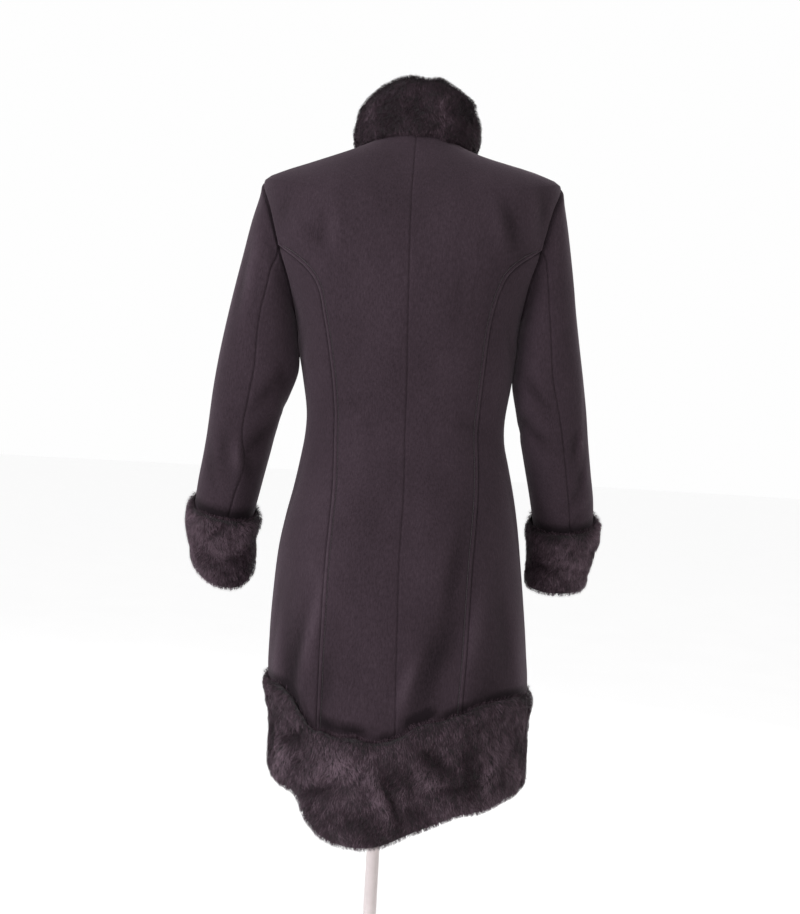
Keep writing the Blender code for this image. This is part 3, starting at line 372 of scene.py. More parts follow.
def crease_depth(crease: Crease | SleeveCrease, off: np.ndarray, normal: np.ndarray,
                 way: np.ndarray, side_way: np.ndarray, reach: float) -> np.ndarray:
    """Depth of one listed crease.

    Args:
        crease: its sizes.
        off: places, from the crease's middle.
        normal: outward direction at the middle.
        way: direction that it leans from.
        side_way: direction that it leans to.
        reach: how far off the surface it fades.
    Returns:
        Depth inwards at each place.
    """
    lean = math.radians(crease.lean)
    along = way * math.cos(lean) + side_way * math.sin(lean)
    across = np.cross(along, normal)
    return (crease.depth * bump(off @ normal, reach) * bump(off @ along, crease.half_length)
            * bump(off @ across, crease.half_width))


class Table:
    """Rows of named columns with a smooth curve through each column."""

    def __init__(self, rows: Sequence, key: str) -> None:
        """Sort rows of a named tuple into columns.

        Args:
            rows: the rows.
            key: name of the column that rises.
        """
        self.columns = {name: np.array([getattr(row, name) for row in rows], float)
                        for name in rows[0]._fields}
        self.keys = self.columns[key]

    def at(self, name: str, value: np.ndarray) -> np.ndarray:
        """Value of a column at a key.

        Args:
            name: the column.
            value: keys to read it at.
        Returns:
            The column's values there, on straight lines beyond its ends.
        """
        keys, column, value = self.keys, self.columns[name], np.asarray(value, float)
        first, last = ((column[i + 1] - column[i]) / (keys[i + 1] - keys[i]) for i in (0, -2))
        below = column[0] + first * (value - keys[0])
        above = column[-1] + last * (value - keys[-1])
        inside = curve(column, keys, value)
        return np.where(value < keys[0], below, np.where(value > keys[-1], above, inside))


class CoatSurface:
    """The body's outer surface: angle 0 is the centre back, 90 the left side."""

    def __init__(self) -> None:
        """Read the coat's tables."""
        self.sections = Table(COAT, "level")
        self.hem = Table(HEM, "angle")
        self.princess = Table(PRINCESS, "level")
        self.band_edge = Table(BAND_EDGE, "angle")
        self.band_foot = Table(BAND_FOOT, "angle")
        self.collar_rise = Table(COLLAR_RISE, "angle")

    def point(self, angle: np.ndarray, level: np.ndarray) -> np.ndarray:
        """Points of the surface.

        Args:
            angle: degrees round the body.
            level: named height of the section.
        Returns:
            Array of points, x, y and z last.
        """
        angle, level = np.broadcast_arrays(np.asarray(angle, float), np.asarray(level, float))
        half, back, front, centre, square, z_back, z_side, z_front = (
            self.sections.at(name, level) for name in Section._fields[1:])
        across, along = np.sin(np.radians(angle)), np.cos(np.radians(angle))
        reach = squared(across, along, square)
        x = half * reach * across
        y = np.where(along > 0, back, front) * reach * along
        z = np.where(along > 0, z_back, z_front)
        z = z + (z_side - z) * across * across
        fade = 1 - ease(SLOPE_END, NECKLINE, level)
        z = z - SHOULDER_SLOPE * x * ease(SLOPE_START, SLOPE_FULL, level) * fade
        drop = self.hem.at("bottom", turned(angle)) - (HEM_LEVEL - BAND_HEIGHT)
        z = z + drop * (1 - ease(HEM_LEVEL, HANG_TOP, level))
        depth = self.fold_depth(angle, level)
        outward = np.stack([x / half ** 2, y / back ** 2], -1)
        outward = outward / np.linalg.norm(outward, axis=-1, keepdims=True)
        return np.stack([centre + x - outward[..., 0] * depth,
                         y - outward[..., 1] * depth, z], -1)

    @staticmethod
    def fold_depth(angle: np.ndarray, level: np.ndarray) -> np.ndarray:
        """Depth of the skirt's large folds.

        Args:
            angle: degrees round the body.
            level: named height.
        Returns:
            Depth inwards at each place.
        """
        depth = np.zeros(np.broadcast(angle, level).shape)
        for fold in FOLDS:
            share = ease(fold.low, fold.high, level)
            window = (1 - share) * ease(fold.low - FOLD_FADE, fold.low, level)
            off = turned(angle - fold.angle - fold.lean * share)
            depth = depth + fold.depth * window * bump(off, fold.half_width)
        return depth

    def normal(self, angle: np.ndarray, level: np.ndarray) -> np.ndarray:
        """Outward unit normals, from neighbouring points."""
        return unit(np.cross(
            self.point(angle, level + LEVEL_NUDGE) - self.point(angle, level - LEVEL_NUDGE),
            self.point(angle + ANGLE_NUDGE, level) - self.point(angle - ANGLE_NUDGE, level)))

    def angle_at(self, distance: np.ndarray, level: np.ndarray, front: bool) -> np.ndarray:
        """Angle of a point at a distance from the coat's middle.

        Args:
            distance: metres from the middle.
            level: named height.
            front: True on the front.
        Returns:
            Angles between 0 and 180.
        """
        half = self.sections.at("half_width", level)
        square = self.sections.at("square", level)
        share = np.minimum(distance / half, WIDEST_SHARE)
        angle = np.degrees(np.arctan2(share, (1 - share ** square) ** (1 / square)))
        return 180 - angle if front else angle

    def band_rise(self, angle: np.ndarray) -> np.ndarray:
        """How far the fur band's upper edge stands above its seam."""
        return self.band_edge.at("rise", turned(angle))

    def armhole_angle(self, side: Side, front: bool, level: np.ndarray) -> np.ndarray:
        """Angle of the armhole's edge between the underarm and the tip.

        Args:
            side: side of the wearer.
            front: True on the front.
            level: named height.
        Returns:
            Angles of the edge.
        """
        share = np.clip((level - UNDERARM) / (SHOULDER_TIP - UNDERARM), 0, 1)
        swing = np.sin(np.arccos(1 - 2 * share)) * (ARMHOLE_FRONT if front else ARMHOLE_BACK)
        return side.value * (90 + swing if front else 90 - swing)

    def princess_angle(self, side: Side, front: bool, level: np.ndarray) -> np.ndarray:
        """Angle of a princess seam, which ends on the armhole.

        Args:
            side: side of the wearer.
            front: True on the front.
            level: named height.
        Returns:
            Angles of the seam.
        """
        column = "front" if front else "back_" + side.hand
        angle = self.angle_at(self.princess.at(column, level), level, front)
        top = self.angle_at(self.princess.at(column, PRINCESS_TOP), PRINCESS_TOP, front)
        end = abs(self.armhole_angle(side, front, np.array(PRINCESS_TOP)))
        return side.value * (angle + (end - top) * ease(PRINCESS_BEND, PRINCESS_TOP, level))

    def outer_angle(self, side: Side, front: bool, level: np.ndarray) -> np.ndarray:
        """Angle of a centre panel's outer edge: princess seam, armhole, shoulder.

        Args:
            side: side of the wearer.
            front: True on the front.
            level: named height.
        Returns:
            Angles of the edge.
        """
        princess = self.princess_angle(side, front, np.minimum(level, PRINCESS_TOP))
        armhole = self.armhole_angle(side, front, level)
        edge = np.where(level <= PRINCESS_TOP, princess, armhole)
        return np.where(level >= SHOULDER_TIP, side.value * 90.0, edge)

    def lap_angle(self, level: np.ndarray) -> np.ndarray:
        """Angle that the front lap takes up beyond the centre front."""
        return 180 - self.angle_at(np.full_like(level, FRONT_LAP), level, True)

    def creases(self, points: np.ndarray, level: np.ndarray) -> np.ndarray:
        """Depth of the listed creases at points of the body.

        Args:
            points: the points.
            level: their levels; creases end softly at the hem.
        Returns:
            Depth inwards at each point.
        """
        depth = np.zeros(points.shape[:-1])
        for crease in BODY_CREASES:
            middle = self.point(np.array(crease.angle), np.array(crease.level))
            normal = self.normal(np.array(crease.angle, float), np.array(crease.level))
            side_way = unit(np.cross(UPWARDS, normal))
            depth += crease_depth(crease, points - middle, normal, np.cross(normal, side_way),
                                  side_way, BODY_CREASE_REACH)
        return depth * ease(HEM_LEVEL, HEM_LEVEL + CREASE_END, level)


class SleeveSurface:
    """A sleeve: turn 0 is the inside, 90 the back, 180 the outside."""

    def __init__(self, side: Side, coat: CoatSurface) -> None:
        """Read a sleeve's table.

        Args:
            side: side of the wearer.
            coat: the body's surface.
        """
        self.side = side
        self.coat = coat
        self.rings = Table(SLEEVE_LEFT if side is Side.LEFT else SLEEVE_RIGHT, "number")

    def point(self, turn: np.ndarray, ring: np.ndarray) -> np.ndarray:
        """Points of the sleeve's outer surface.

        Args:
            turn: degrees round the sleeve.
            ring: ring number down the sleeve.
        Returns:
            Array of points.
        """
        turn, ring = np.broadcast_arrays(np.asarray(turn, float), np.asarray(ring, float))
        value = {name: self.rings.at(name, ring) for name in Ring._fields[1:-1]}
        sign = self.side.value
        slope = -SHOULDER_SLOPE * sign * (1 - ease(0, SLEEVE_TURN, ring))
        outer, inner = (np.stack([sign * value["x_" + end], value["middle"],
                                  value["z_" + end] + slope * value["x_" + end]], -1)
                        for end in ("out", "in"))
        tilt = np.radians(value["tilt"])
        depth = np.stack([np.zeros_like(tilt), np.cos(tilt), -np.sin(tilt)], -1)
        depth = depth * value["depth"][..., None]
        across, along = np.sin(np.radians(turn)), np.cos(np.radians(turn))
        reach = squared(across, along, SLEEVE_SQUARE)
        return ((outer + inner) / 2 - (outer - inner) / 2 * (along * reach)[..., None]
                + depth * (across * reach)[..., None])

    def normal(self, turn: np.ndarray, ring: np.ndarray) -> np.ndarray:
        """Outward unit normals, from neighbouring points."""
        return -self.side.value * unit(np.cross(
            self.point(turn, ring + RING_NUDGE) - self.point(turn, ring - RING_NUDGE),
            self.point(turn + TURN_NUDGE, ring) - self.point(turn - TURN_NUDGE, ring)))

    def armhole(self, step: np.ndarray) -> tuple[np.ndarray, np.ndarray]:
        """Points and normals of the armhole's seam.

        Args:
            step: steps round it, 0 at the underarm, 10 at the tip.
        Returns:
            Points and the body's normals there.
        """
        step = np.asarray(step, float) % (2 * ARMHOLE_STEPS)
        phase = np.pi * step / ARMHOLE_STEPS
        level = UNDERARM + (SHOULDER_TIP - UNDERARM) * (1 - np.cos(phase)) / 2
        reach = np.where(step <= ARMHOLE_STEPS, -ARMHOLE_BACK, -ARMHOLE_FRONT)
        angle = self.side.value * (90 + reach * np.sin(phase))
        return self.coat.point(angle, level), self.coat.normal(angle, level)

    def creases(self, points: np.ndarray) -> np.ndarray:
        """Depth of the sleeve's listed creases.

        Args:
            points: points of the sleeve.
        Returns:
            Depth inwards at each point.
        """
        depth = np.zeros(points.shape[:-1])
        for crease in SLEEVE_CREASES:
            if crease.side != self.side.value:
                continue
            turn, ring = np.array(float(crease.turn)), np.array(float(crease.ring))
            middle, normal = self.point(turn, ring), self.normal(turn, ring)
            down = unit(self.point(turn, ring + CREASE_NUDGE)
                        - self.point(turn, ring - CREASE_NUDGE))
            depth += crease_depth(crease, points - middle, normal, down,
                                  np.cross(normal, down), SLEEVE_CREASE_REACH)
        return depth


def closed_outline(edges: Sequence, height: float, count: int) -> np.ndarray:
    """A closed outline through the CAD's own points, evenly resampled.

    Args:
        edges: rows of along and out.
        height: metres that one unit of along stands for.
        count: points to return.
    Returns:
        Array of along (in its own unit) and out.
    """
    ring = np.array([(edge.along * height, edge.out) for edge in edges])
    closed = np.vstack([ring[-2:], ring, ring[:3]])
    keys = lengths_along(closed)
    fine = curve(closed, keys, np.linspace(keys[2], keys[-3], OUTLINE_SAMPLES))
    length = lengths_along(fine)
    even = np.linspace(0, length[-1], count, endpoint=False)
    points = np.stack([np.interp(even, length, fine[:, k]) for k in (0, 1)], -1)
    return points / np.array([height, 1.0])


class Ripple:
    """Soft, fixed unevenness of space: a few sine waves added up."""
    count = 9
    sizes = (0.7, 1.6)
    level = 1.4

    def __init__(self, size: float, seed: int) -> None:
        """Draw the waves.

        Args:
            size: metres from crest to crest.
            seed: of the random numbers.
        """
        random = np.random.default_rng(seed)
        ways = unit(random.normal(size=(self.count, 3)))
        self.waves = ways * (2 * np.pi / (size * random.uniform(*self.sizes, (self.count, 1))))
        self.starts = random.uniform(0, 2 * np.pi, self.count)

    def at(self, points: np.ndarray) -> np.ndarray:
        """Height of the unevenness, about -1 to 1.

        Args:
            points: places in metres.
        Returns:
            A number for each.
        """
        total = np.zeros(points.shape[:-1])
        for wave, start in zip(self.waves, self.starts):
            total += np.sin(points @ wave + start)
        return total / math.sqrt(self.count * self.level)


# ---- materials ----

class Socket:
    """An output socket with operators, so that shader maths reads as maths."""

    def __init__(self, graph: "Graph", output: bpy.types.NodeSocket) -> None:
        """Keep the graph and one of its outputs."""
        self.graph = graph
        self.output = output

    def math(self, operation: str, *values: object) -> "Socket":
        """A Math node on sockets or numbers, in the node's order."""
        return self.graph.node("ShaderNodeMath", "Value", {"operation": operation}, values)

    def __add__(self, other: object) -> "Socket":
        """Sum."""
        return self.math("ADD", self, other)

    def __sub__(self, other: object) -> "Socket":
        """Difference."""
        return self.math("SUBTRACT", self, other)

    def __mul__(self, other: object) -> "Socket":
        """Product."""
        return self.math("MULTIPLY", self, other)

    def __rsub__(self, other: object) -> "Socket":
        """Difference from a number."""
        return self.math("SUBTRACT", other, self)

    __radd__ = __add__
    __rmul__ = __mul__


class Graph:
    """A Principled material that is being wired up."""

    def __init__(self, name: str) -> None:
        """Start a material.

        Args:
            name: the material's name.
        """
        self.material = bpy.data.materials.new(name)
        self.material.use_nodes = True
        self.tree = self.material.node_tree
        self.shader = self.tree.nodes["Principled BSDF"]
        self.places = self.node("ShaderNodeTexCoord", "Object")

    def node(self, kind: str, output: str, settings: Optional[dict] = None,
             values: Sequence = (), stops: Sequence = (), **inputs: object) -> Socket:
        """A new node: its settings are set first, then its inputs.

        Args:
            kind: the node's class name.
            output: name of the output that is read.
            settings: its properties and their values.
            values: links or plain values of its inputs, in order.
            stops: a ramp's stops: place, red, green and blue of each.
            inputs: links or plain values of its named inputs.
        Returns:
            The output.
        """
        made = self.tree.nodes.new(kind)
        for name, value in (settings or {}).items():
            setattr(made, name, value)
        for _ in stops[2:]:
            made.color_ramp.elements.new(0.5)
        for (place, *colour), element in zip(stops, made.color_ramp.elements if stops else ()):
            element.position, element.color = place, (*colour, 1.0)
        for slot, value in zip(made.inputs, values):
            self.feed(slot, value)
        for name, value in inputs.items():
            self.feed(made.inputs[name], value)
        return Socket(self, made.outputs[output])

    def feed(self, slot: bpy.types.NodeSocket, value: object) -> None:
        """Connect a socket, or set a plain value.

        Args:
            slot: the input.
            value: a Socket or a number or colour.
        """
        if isinstance(value, Socket):
            self.tree.links.new(value.output, slot)
        else:
            slot.default_value = value

    def stretched(self, scale: tuple[float, float, float]) -> Socket:
        """Object places scaled along each axis."""
        return self.node("ShaderNodeMapping", "Vector", Vector=self.places, Scale=scale)

    def noise(self, scale: float, detail: float, rough: float,
              places: Optional[Socket] = None) -> Socket:
        """A noise's value: waves to a metre, octaves and how strong the small are."""
        return self.node("ShaderNodeTexNoise", "Fac", Vector=places or self.places,
                         Scale=scale, Detail=detail, Roughness=rough)

    def attribute(self, name: str) -> Socket:
        """A mesh attribute's value."""
        return self.node("ShaderNodeAttribute", "Fac", {"attribute_name": name})

    def ramp(self, value: Socket, *stops: tuple[float, float, float, float]) -> Socket:
        """Colours along a value; each stop is a place, red, green and blue."""
        return self.node("ShaderNodeValToRGB", "Color", stops=stops, Fac=value)

    def relief(self, height: Socket, depth: float, strength: float) -> None:
        """Bump the surface by a height of 0 to 1, at most depth metres."""
        self.set(Normal=self.node("ShaderNodeBump", "Normal", Distance=depth,
                                  Strength=strength, Height=height))

    def set(self, **values: object) -> None:
        """Set or connect the shader's own sockets; underscores stand for spaces."""
        for name, value in values.items():
            self.feed(self.shader.inputs[name.replace("_", " ")], value)


class Finish:
    """A finish that makes its material once."""
    title = "finish"

    def __init__(self) -> None:
        """Start without a material."""
        self.made: Optional[bpy.types.Material] = None

    @property
    def material(self) -> bpy.types.Material:
        """The finish's material, made when it is first asked for.

        Returns:
            The material.
        """
        if self.made is None:
            graph = Graph(self.title)
            self.wire(graph)
            self.made = graph.material
        return self.made

    def wire(self, graph: Graph) -> None:
        """Wire the material's nodes."""
        raise NotImplementedError


class Melton(Finish):
    """Dense, felted wool: short matted fibres with a soft bloom."""
    title = "wool_melton"

    def wire(self, graph: Graph) -> None:
        """Wire fibre, mottle and bloom, and the pieces' painted shade and painted light.

        Args:
            graph: the material's graph.
        """
        fibre = graph.noise(560, 4, 0.7, graph.stretched((1.0, 1.0, 0.30)))
        matt = graph.noise(2100, 2, 0.6)
        mottle = graph.noise(16, 3, 0.5, graph.stretched((1.0, 1.0, 0.5)))
        # The shade attribute is painted shade and painted light: seams, stitches, creases and the
        # line above the fur are darker, ridges lighter.
        tone = fibre * 0.50 + matt * 0.26 + mottle * 0.24 + graph.attribute("shade") * 0.24
        colour = graph.ramp(tone, (0.18, 0.0090, 0.0058, 0.0078), (0.36, 0.0200, 0.0132, 0.0172),
                            (0.52, 0.0330, 0.0220, 0.0290), (0.74, 0.0580, 0.0405, 0.0520))
        graph.relief(fibre * 0.6 + matt * 0.4, 0.0009, 0.45)
        graph.set(Base_Color=colour, Roughness=0.95, Sheen_Weight=0.16, Sheen_Roughness=0.45,
                  Sheen_Tint=(0.82, 0.68, 0.77, 1.0), Specular_IOR_Level=0.10)


class Pile(Finish):
    """Fur strands: near black, brighter towards the tip, each one a little different."""
    title = "fur_pile"

    def wire(self, graph: Graph) -> None:
        """Wire strand tone and tip.

        Args:
            graph: the material's graph.
        """
        patch = graph.noise(38, 2, 0.5)
        clump = graph.noise(430, 3, 0.70, graph.stretched((1.0, 1.0, 0.45)))
        # The tone attribute holds each strand's own tone and the painted shade and light of the
        # fur's dents and swells.
        value = (graph.attribute("tone") * 0.55 + graph.attribute("tip") * 0.22 + patch * 0.20
                 + (clump - 0.5) * 0.50)
        colour = graph.ramp(value, (0.12, 0.0085, 0.0048, 0.0064),
                            (0.50, 0.0560, 0.0350, 0.0460), (0.90, 0.2300, 0.1600, 0.1980))
        graph.set(Base_Color=colour, Roughness=0.50, Specular_IOR_Level=0.12, Sheen_Weight=0.04,
                  Sheen_Roughness=0.35, Sheen_Tint=(0.85, 0.72, 0.80, 1.0))


class Hide(Finish):
    """The ground that the pile stands on."""
    title = "fur_ground"

    def wire(self, graph: Graph) -> None:
        """Wire a dark ground with streaks down the nap.

        Args:
            graph: the material's graph.
        """
        streak = graph.noise(620, 3, 0.6, graph.stretched((1.0, 1.0, 0.22)))
        colour = graph.ramp(streak * 0.6 + graph.noise(40, 2, 0.5) * 0.4,
                            (0.32, 0.0040, 0.0028, 0.0035), (0.70, 0.0200, 0.0140, 0.0175))
        graph.relief(streak, 0.0016, 0.7)
        graph.set(Base_Color=colour, Roughness=0.60, Specular_IOR_Level=0.35)


class Thread(Finish):
    """Twisted sewing thread."""
    title = "thread"

    def wire(self, graph: Graph) -> None:
        """Wire the twist.

        Args:
            graph: the material's graph.
        """
        twist = graph.noise(2600, 1, 0.5)
        colour = graph.ramp(twist, (0.3, 0.008, 0.0055, 0.007), (0.7, 0.021, 0.0145, 0.0185))
        graph.relief(twist, 0.0002, 0.5)
        graph.set(Base_Color=colour, Roughness=0.62, Sheen_Weight=0.15)


class Horn(Finish):
    """Polished dark horn with faint clouds."""
    title = "horn"

    def wire(self, graph: Graph) -> None:
        """Wire clouds and fine scratches.

        Args:
            graph: the material's graph.
        """
        cloud = graph.noise(110, 4, 0.6, graph.stretched((1.0, 1.0, 2.2)))
        scratch = graph.noise(1500, 2, 0.5)
        colour = graph.ramp(cloud, (0.35, 0.008, 0.006, 0.006), (0.58, 0.020, 0.014, 0.013),
                            (0.75, 0.048, 0.032, 0.026))
        graph.relief(scratch, 0.0001, 0.3)
        graph.set(Base_Color=colour, Roughness=scratch * 0.16 + 0.22, Coat_Weight=0.25,
                  Coat_Roughness=0.12)


class Jersey(Finish):
    """Fine knitted cover of the form."""
    title = "form_jersey"

    def wire(self, graph: Graph) -> None:
        """Wire fine ribs and a soft mottle.

        Args:
            graph: the material's graph.
        """
        ribs = graph.node("ShaderNodeTexWave", "Fac",
                          {"wave_type": "BANDS", "bands_direction": "X"},
                          Vector=graph.places, Scale=210.0, Distortion=1.2, Detail=2.0)
        mottle = graph.noise(160, 3, 0.6)
        colour = graph.ramp(ribs * 0.35 + mottle * 0.65, (0.25, 0.50, 0.455, 0.41),
                            (0.75, 0.66, 0.61, 0.56))
        graph.relief(ribs * 0.6 + mottle * 0.4, 0.0004, 0.6)
        graph.set(Base_Color=colour, Roughness=0.9, Sheen_Weight=0.2, Specular_IOR_Level=0.25)


class Enamel(Finish):
    """Satin paint with a fine orange peel and light scuffs."""
    title = "stand_paint"

    def wire(self, graph: Graph) -> None:
        """Wire peel and scuffs.

        Args:
            graph: the material's graph.
        """
        scuff = graph.noise(26, 5, 0.65)
        colour = graph.ramp(scuff, (0.30, 0.60, 0.535, 0.53), (0.62, 0.68, 0.61, 0.605),
                            (0.80, 0.56, 0.50, 0.495))
        graph.relief(graph.noise(420, 2, 0.5), 0.00015, 0.35)
        graph.set(Base_Color=colour, Roughness=scuff * 0.30 + 0.26, Coat_Weight=0.15,
                  Coat_Roughness=0.25)


class Plaster(Finish):
    """The plain pale floor, with painted light: it glows a little round the coat and more further
    off, so that it reads evenly white.
    """
    title = "pale_floor"

    def wire(self, graph: Graph) -> None:
        """Wire a plain matt white and its glow.

        Args:
            graph: the material's graph.
        """
        colour = graph.ramp(graph.noise(3, 2, 0.5), (0.2, 0.90, 0.90, 0.90),
                            (0.8, 0.93, 0.93, 0.93))
        near = graph.node("ShaderNodeTexGradient", "Fac", {"gradient_type": "SPHERICAL"},
                          Vector=graph.stretched((0.14, 0.14, 0.14)))
        glow = graph.ramp(near, *(
            (place, grey, grey, grey)
            for place, grey in ((0.0, 0.39), (0.60, 0.375), (0.80, 0.19), (0.95, 0.06))))
        graph.set(Base_Color=colour, Emission_Color=glow, Roughness=0.9,
                  Specular_IOR_Level=0.1, Emission_Strength=1.0)


@dataclass
class Finishes:
    """All finishes of the scene."""
    wool: Finish = field(default_factory=Melton)
    pile: Finish = field(default_factory=Pile)
    hide: Finish = field(default_factory=Hide)
    thread: Finish = field(default_factory=Thread)
    horn: Finish = field(default_factory=Horn)
    jersey: Finish = field(default_factory=Jersey)
    enamel: Finish = field(default_factory=Enamel)
    floor: Finish = field(default_factory=Plaster)


# ---- mesh helpers ----

def place_object(name: str, mesh: bpy.types.Mesh, finish: Finish,
                 sharp: float = 42.0) -> bpy.types.Object:
    """Put a mesh into the scene with its finish.

    Args:
        name: the piece's name.
        mesh: its mesh.
        finish: its finish.
        sharp: angle in degrees above which edges stay sharp.
    Returns:
        The object, at the origin.
    """
    mesh.materials.append(finish.material)
    mesh.shade_smooth()
    mesh.set_sharp_from_angle(angle=math.radians(sharp))
    return add_object(name, mesh)


def add_object(name: str, data: bpy.types.ID) -> bpy.types.Object:
    """A new object of the scene with this mesh, light or camera."""
    made = bpy.data.objects.new(name, data)
    bpy.context.scene.collection.objects.link(made)
    return made


def mount(piece: bpy.types.Object, node: str = "") -> bpy.types.Object:
    """Fix a piece to the coat's one body and hide the CAD node that it stands for.

    Args:
        piece: the piece.
        node: the CAD node that it stands for, if any.
    Returns:
        The piece.
    """
    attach(piece, "root")
    if node:
        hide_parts(node)
    return piece


def close(bm: bmesh.types.BMesh, name: str) -> bpy.types.Mesh:
    """Turn a closed body's faces outwards and write it to a mesh.

    Args:
        bm: the body, which is freed.
        name: the mesh's name.
    Returns:
        The mesh.
    """
    bmesh.ops.recalc_face_normals(bm, faces=bm.faces[:])
    if bm.calc_volume(signed=True) < 0:
        bmesh.ops.reverse_faces(bm, faces=bm.faces[:])
    mesh = bpy.data.meshes.new(name)
    bm.to_mesh(mesh)
    bm.free()
    return mesh


def wall_mesh(name: str, outer: np.ndarray, inner: np.ndarray,
              shade: np.ndarray) -> bpy.types.Mesh:
    """A thin wall from two grids of points: a grid made solid, then put in place.

    Args:
        name: the mesh's name.
        outer: points of the outside, rows by columns.
        inner: points of the inside.
        shade: painted light (above 0) or painted shade (below 0) in the colour at each point.
    Returns:
        The mesh, with the shade as an attribute.
    """
    rows, columns = outer.shape[0] - 1, outer.shape[1] - 1
    bm = bmesh.new()
    bmesh.ops.create_grid(bm, x_segments=columns, y_segments=rows, size=0.5)
    bmesh.ops.solidify(bm, geom=bm.faces[:], thickness=1.0)
    layer = bm.verts.layers.float.new("shade")
    for vertex in bm.verts:
        column = round((vertex.co.x + 0.5) * columns)
        row = round((vertex.co.y + 0.5) * rows)
        vertex[layer] = shade[row, column]
        vertex.co = (outer if abs(vertex.co.z) < 0.5 else inner)[row, column]
    return close(bm, name)


def tube_mesh(name: str, points: np.ndarray, closed_path: bool) -> bpy.types.Mesh:
    """A solid swept along a path: a grid rolled up, with its ends filled or joined.

    Args:
        name: the mesh's name.
        points: stations along the path by points round it.
        closed_path: True where the last station meets the first.
    Returns:
        The mesh.
    """
    stations, around = points.shape[:2]
    columns = stations if closed_path else stations - 1
    bm = bmesh.new()
    bmesh.ops.create_grid(bm, x_segments=columns, y_segments=around, size=0.5)
    for vertex in bm.verts:
        column = round((vertex.co.x + 0.5) * columns) % stations
        vertex.co = points[column, round((vertex.co.y + 0.5) * around) % around]
    bmesh.ops.remove_doubles(bm, verts=bm.verts[:], dist=WELD)
    if not closed_path:
        bmesh.ops.holes_fill(bm, edges=bm.edges[:], sides=around)
    return close(bm, name)


def grid_normals(points: np.ndarray, outward: np.ndarray) -> np.ndarray:
    """Unit normals of a grid of points, turned as a rough guess."""
    normals = unit(np.cross(np.gradient(points, axis=0), np.gradient(points, axis=1)))
    return normals * np.sign(np.sum(normals * outward, -1, keepdims=True))


def spaced_shares(width: float, inner_count: int) -> np.ndarray:
    """Shares of a row that crowd near its seams.

    Args:
        width: the row's length in metres.
        inner_count: even steps between the crowded ends.
    Returns:
        Rising shares from 0 to 1.
    """
    scale = min(1.0, EDGE_PART * width / EDGE_STEPS[-1])
    start = np.array(EDGE_STEPS) * scale / width
    end = 1 - start[::-1]
    middle = np.linspace(start[-1], end[0], inner_count + 1)[1:-1]
    return np.concatenate([start, middle, end])


# ---- wool ----

@dataclass(frozen=True)
class Cut:
    """The flat cut of a piece, in metres and square metres."""
    width: float
    length: float
    area: float


def declare(piece: bpy.types.Object, cut: Cut) -> None:
    """Log the area of one side of a piece and the area of its flat cut.

    Args:
        piece: the sheet.
        cut: its flat cut.
    """
    one_side = sum(face.area for face in piece.data.polygons) / 2
    LOG.info("%s: one side %.4f, cut %.4f square metres", piece.name, one_side, cut.area)


@dataclass
class StitchRow:
    """A row of stitches: points on the cloth and the cloth's normals there."""
    points: np.ndarray
    normals: np.ndarray


@dataclass
class Relief:
    """The outside of a piece, rows by columns, and what is pressed into it."""
    points: np.ndarray
    normals: np.ndarray
    depth: np.ndarray
    # painted light (above 0) and painted shade (below 0) in the wool's colour
    shade: np.ndarray

    def sunk(self) -> np.ndarray:
        """The points at their depth."""
        return self.points - self.normals * self.depth[..., None]

    def away(self, edge: int) -> np.ndarray:
        """Distance of every point from an edge, square to the edge.

        Args:
            edge: 0 for the first column, -1 for the last.
        Returns:
            Distances in metres.
        """
        ordered = self.points if edge == 0 else self.points[:, ::-1]
        tangent = unit(np.gradient(ordered[:, 0], axis=0))
        row_way = unit(ordered[:, 1] - ordered[:, 0])
        square = np.sqrt(np.maximum(1 - np.sum(tangent * row_way, -1) ** 2, LEAST_SQUARE))
        away = lengths_along(ordered) * square[:, None]
        return away if edge == 0 else away[:, ::-1]


@dataclass
class WoolPiece:
    """A piece of wool cloth."""
    name: str
    cut: Cut

    def hang(self, relief: Relief, finish: Finish, rests_on: str) -> None:
        """Make the cloth's wall and put it into the scene.

        Args:
            relief: its outside.
            finish: the cloth.
            rests_on: the node that it hangs on; not used.
        """
        mesh = wall_mesh(self.name, relief.sunk(), relief.points - relief.normals * WALL,
                         relief.shade)
        made = mount(place_object(self.name + "_cloth", mesh, finish), self.name)
        declare(made, self.cut)


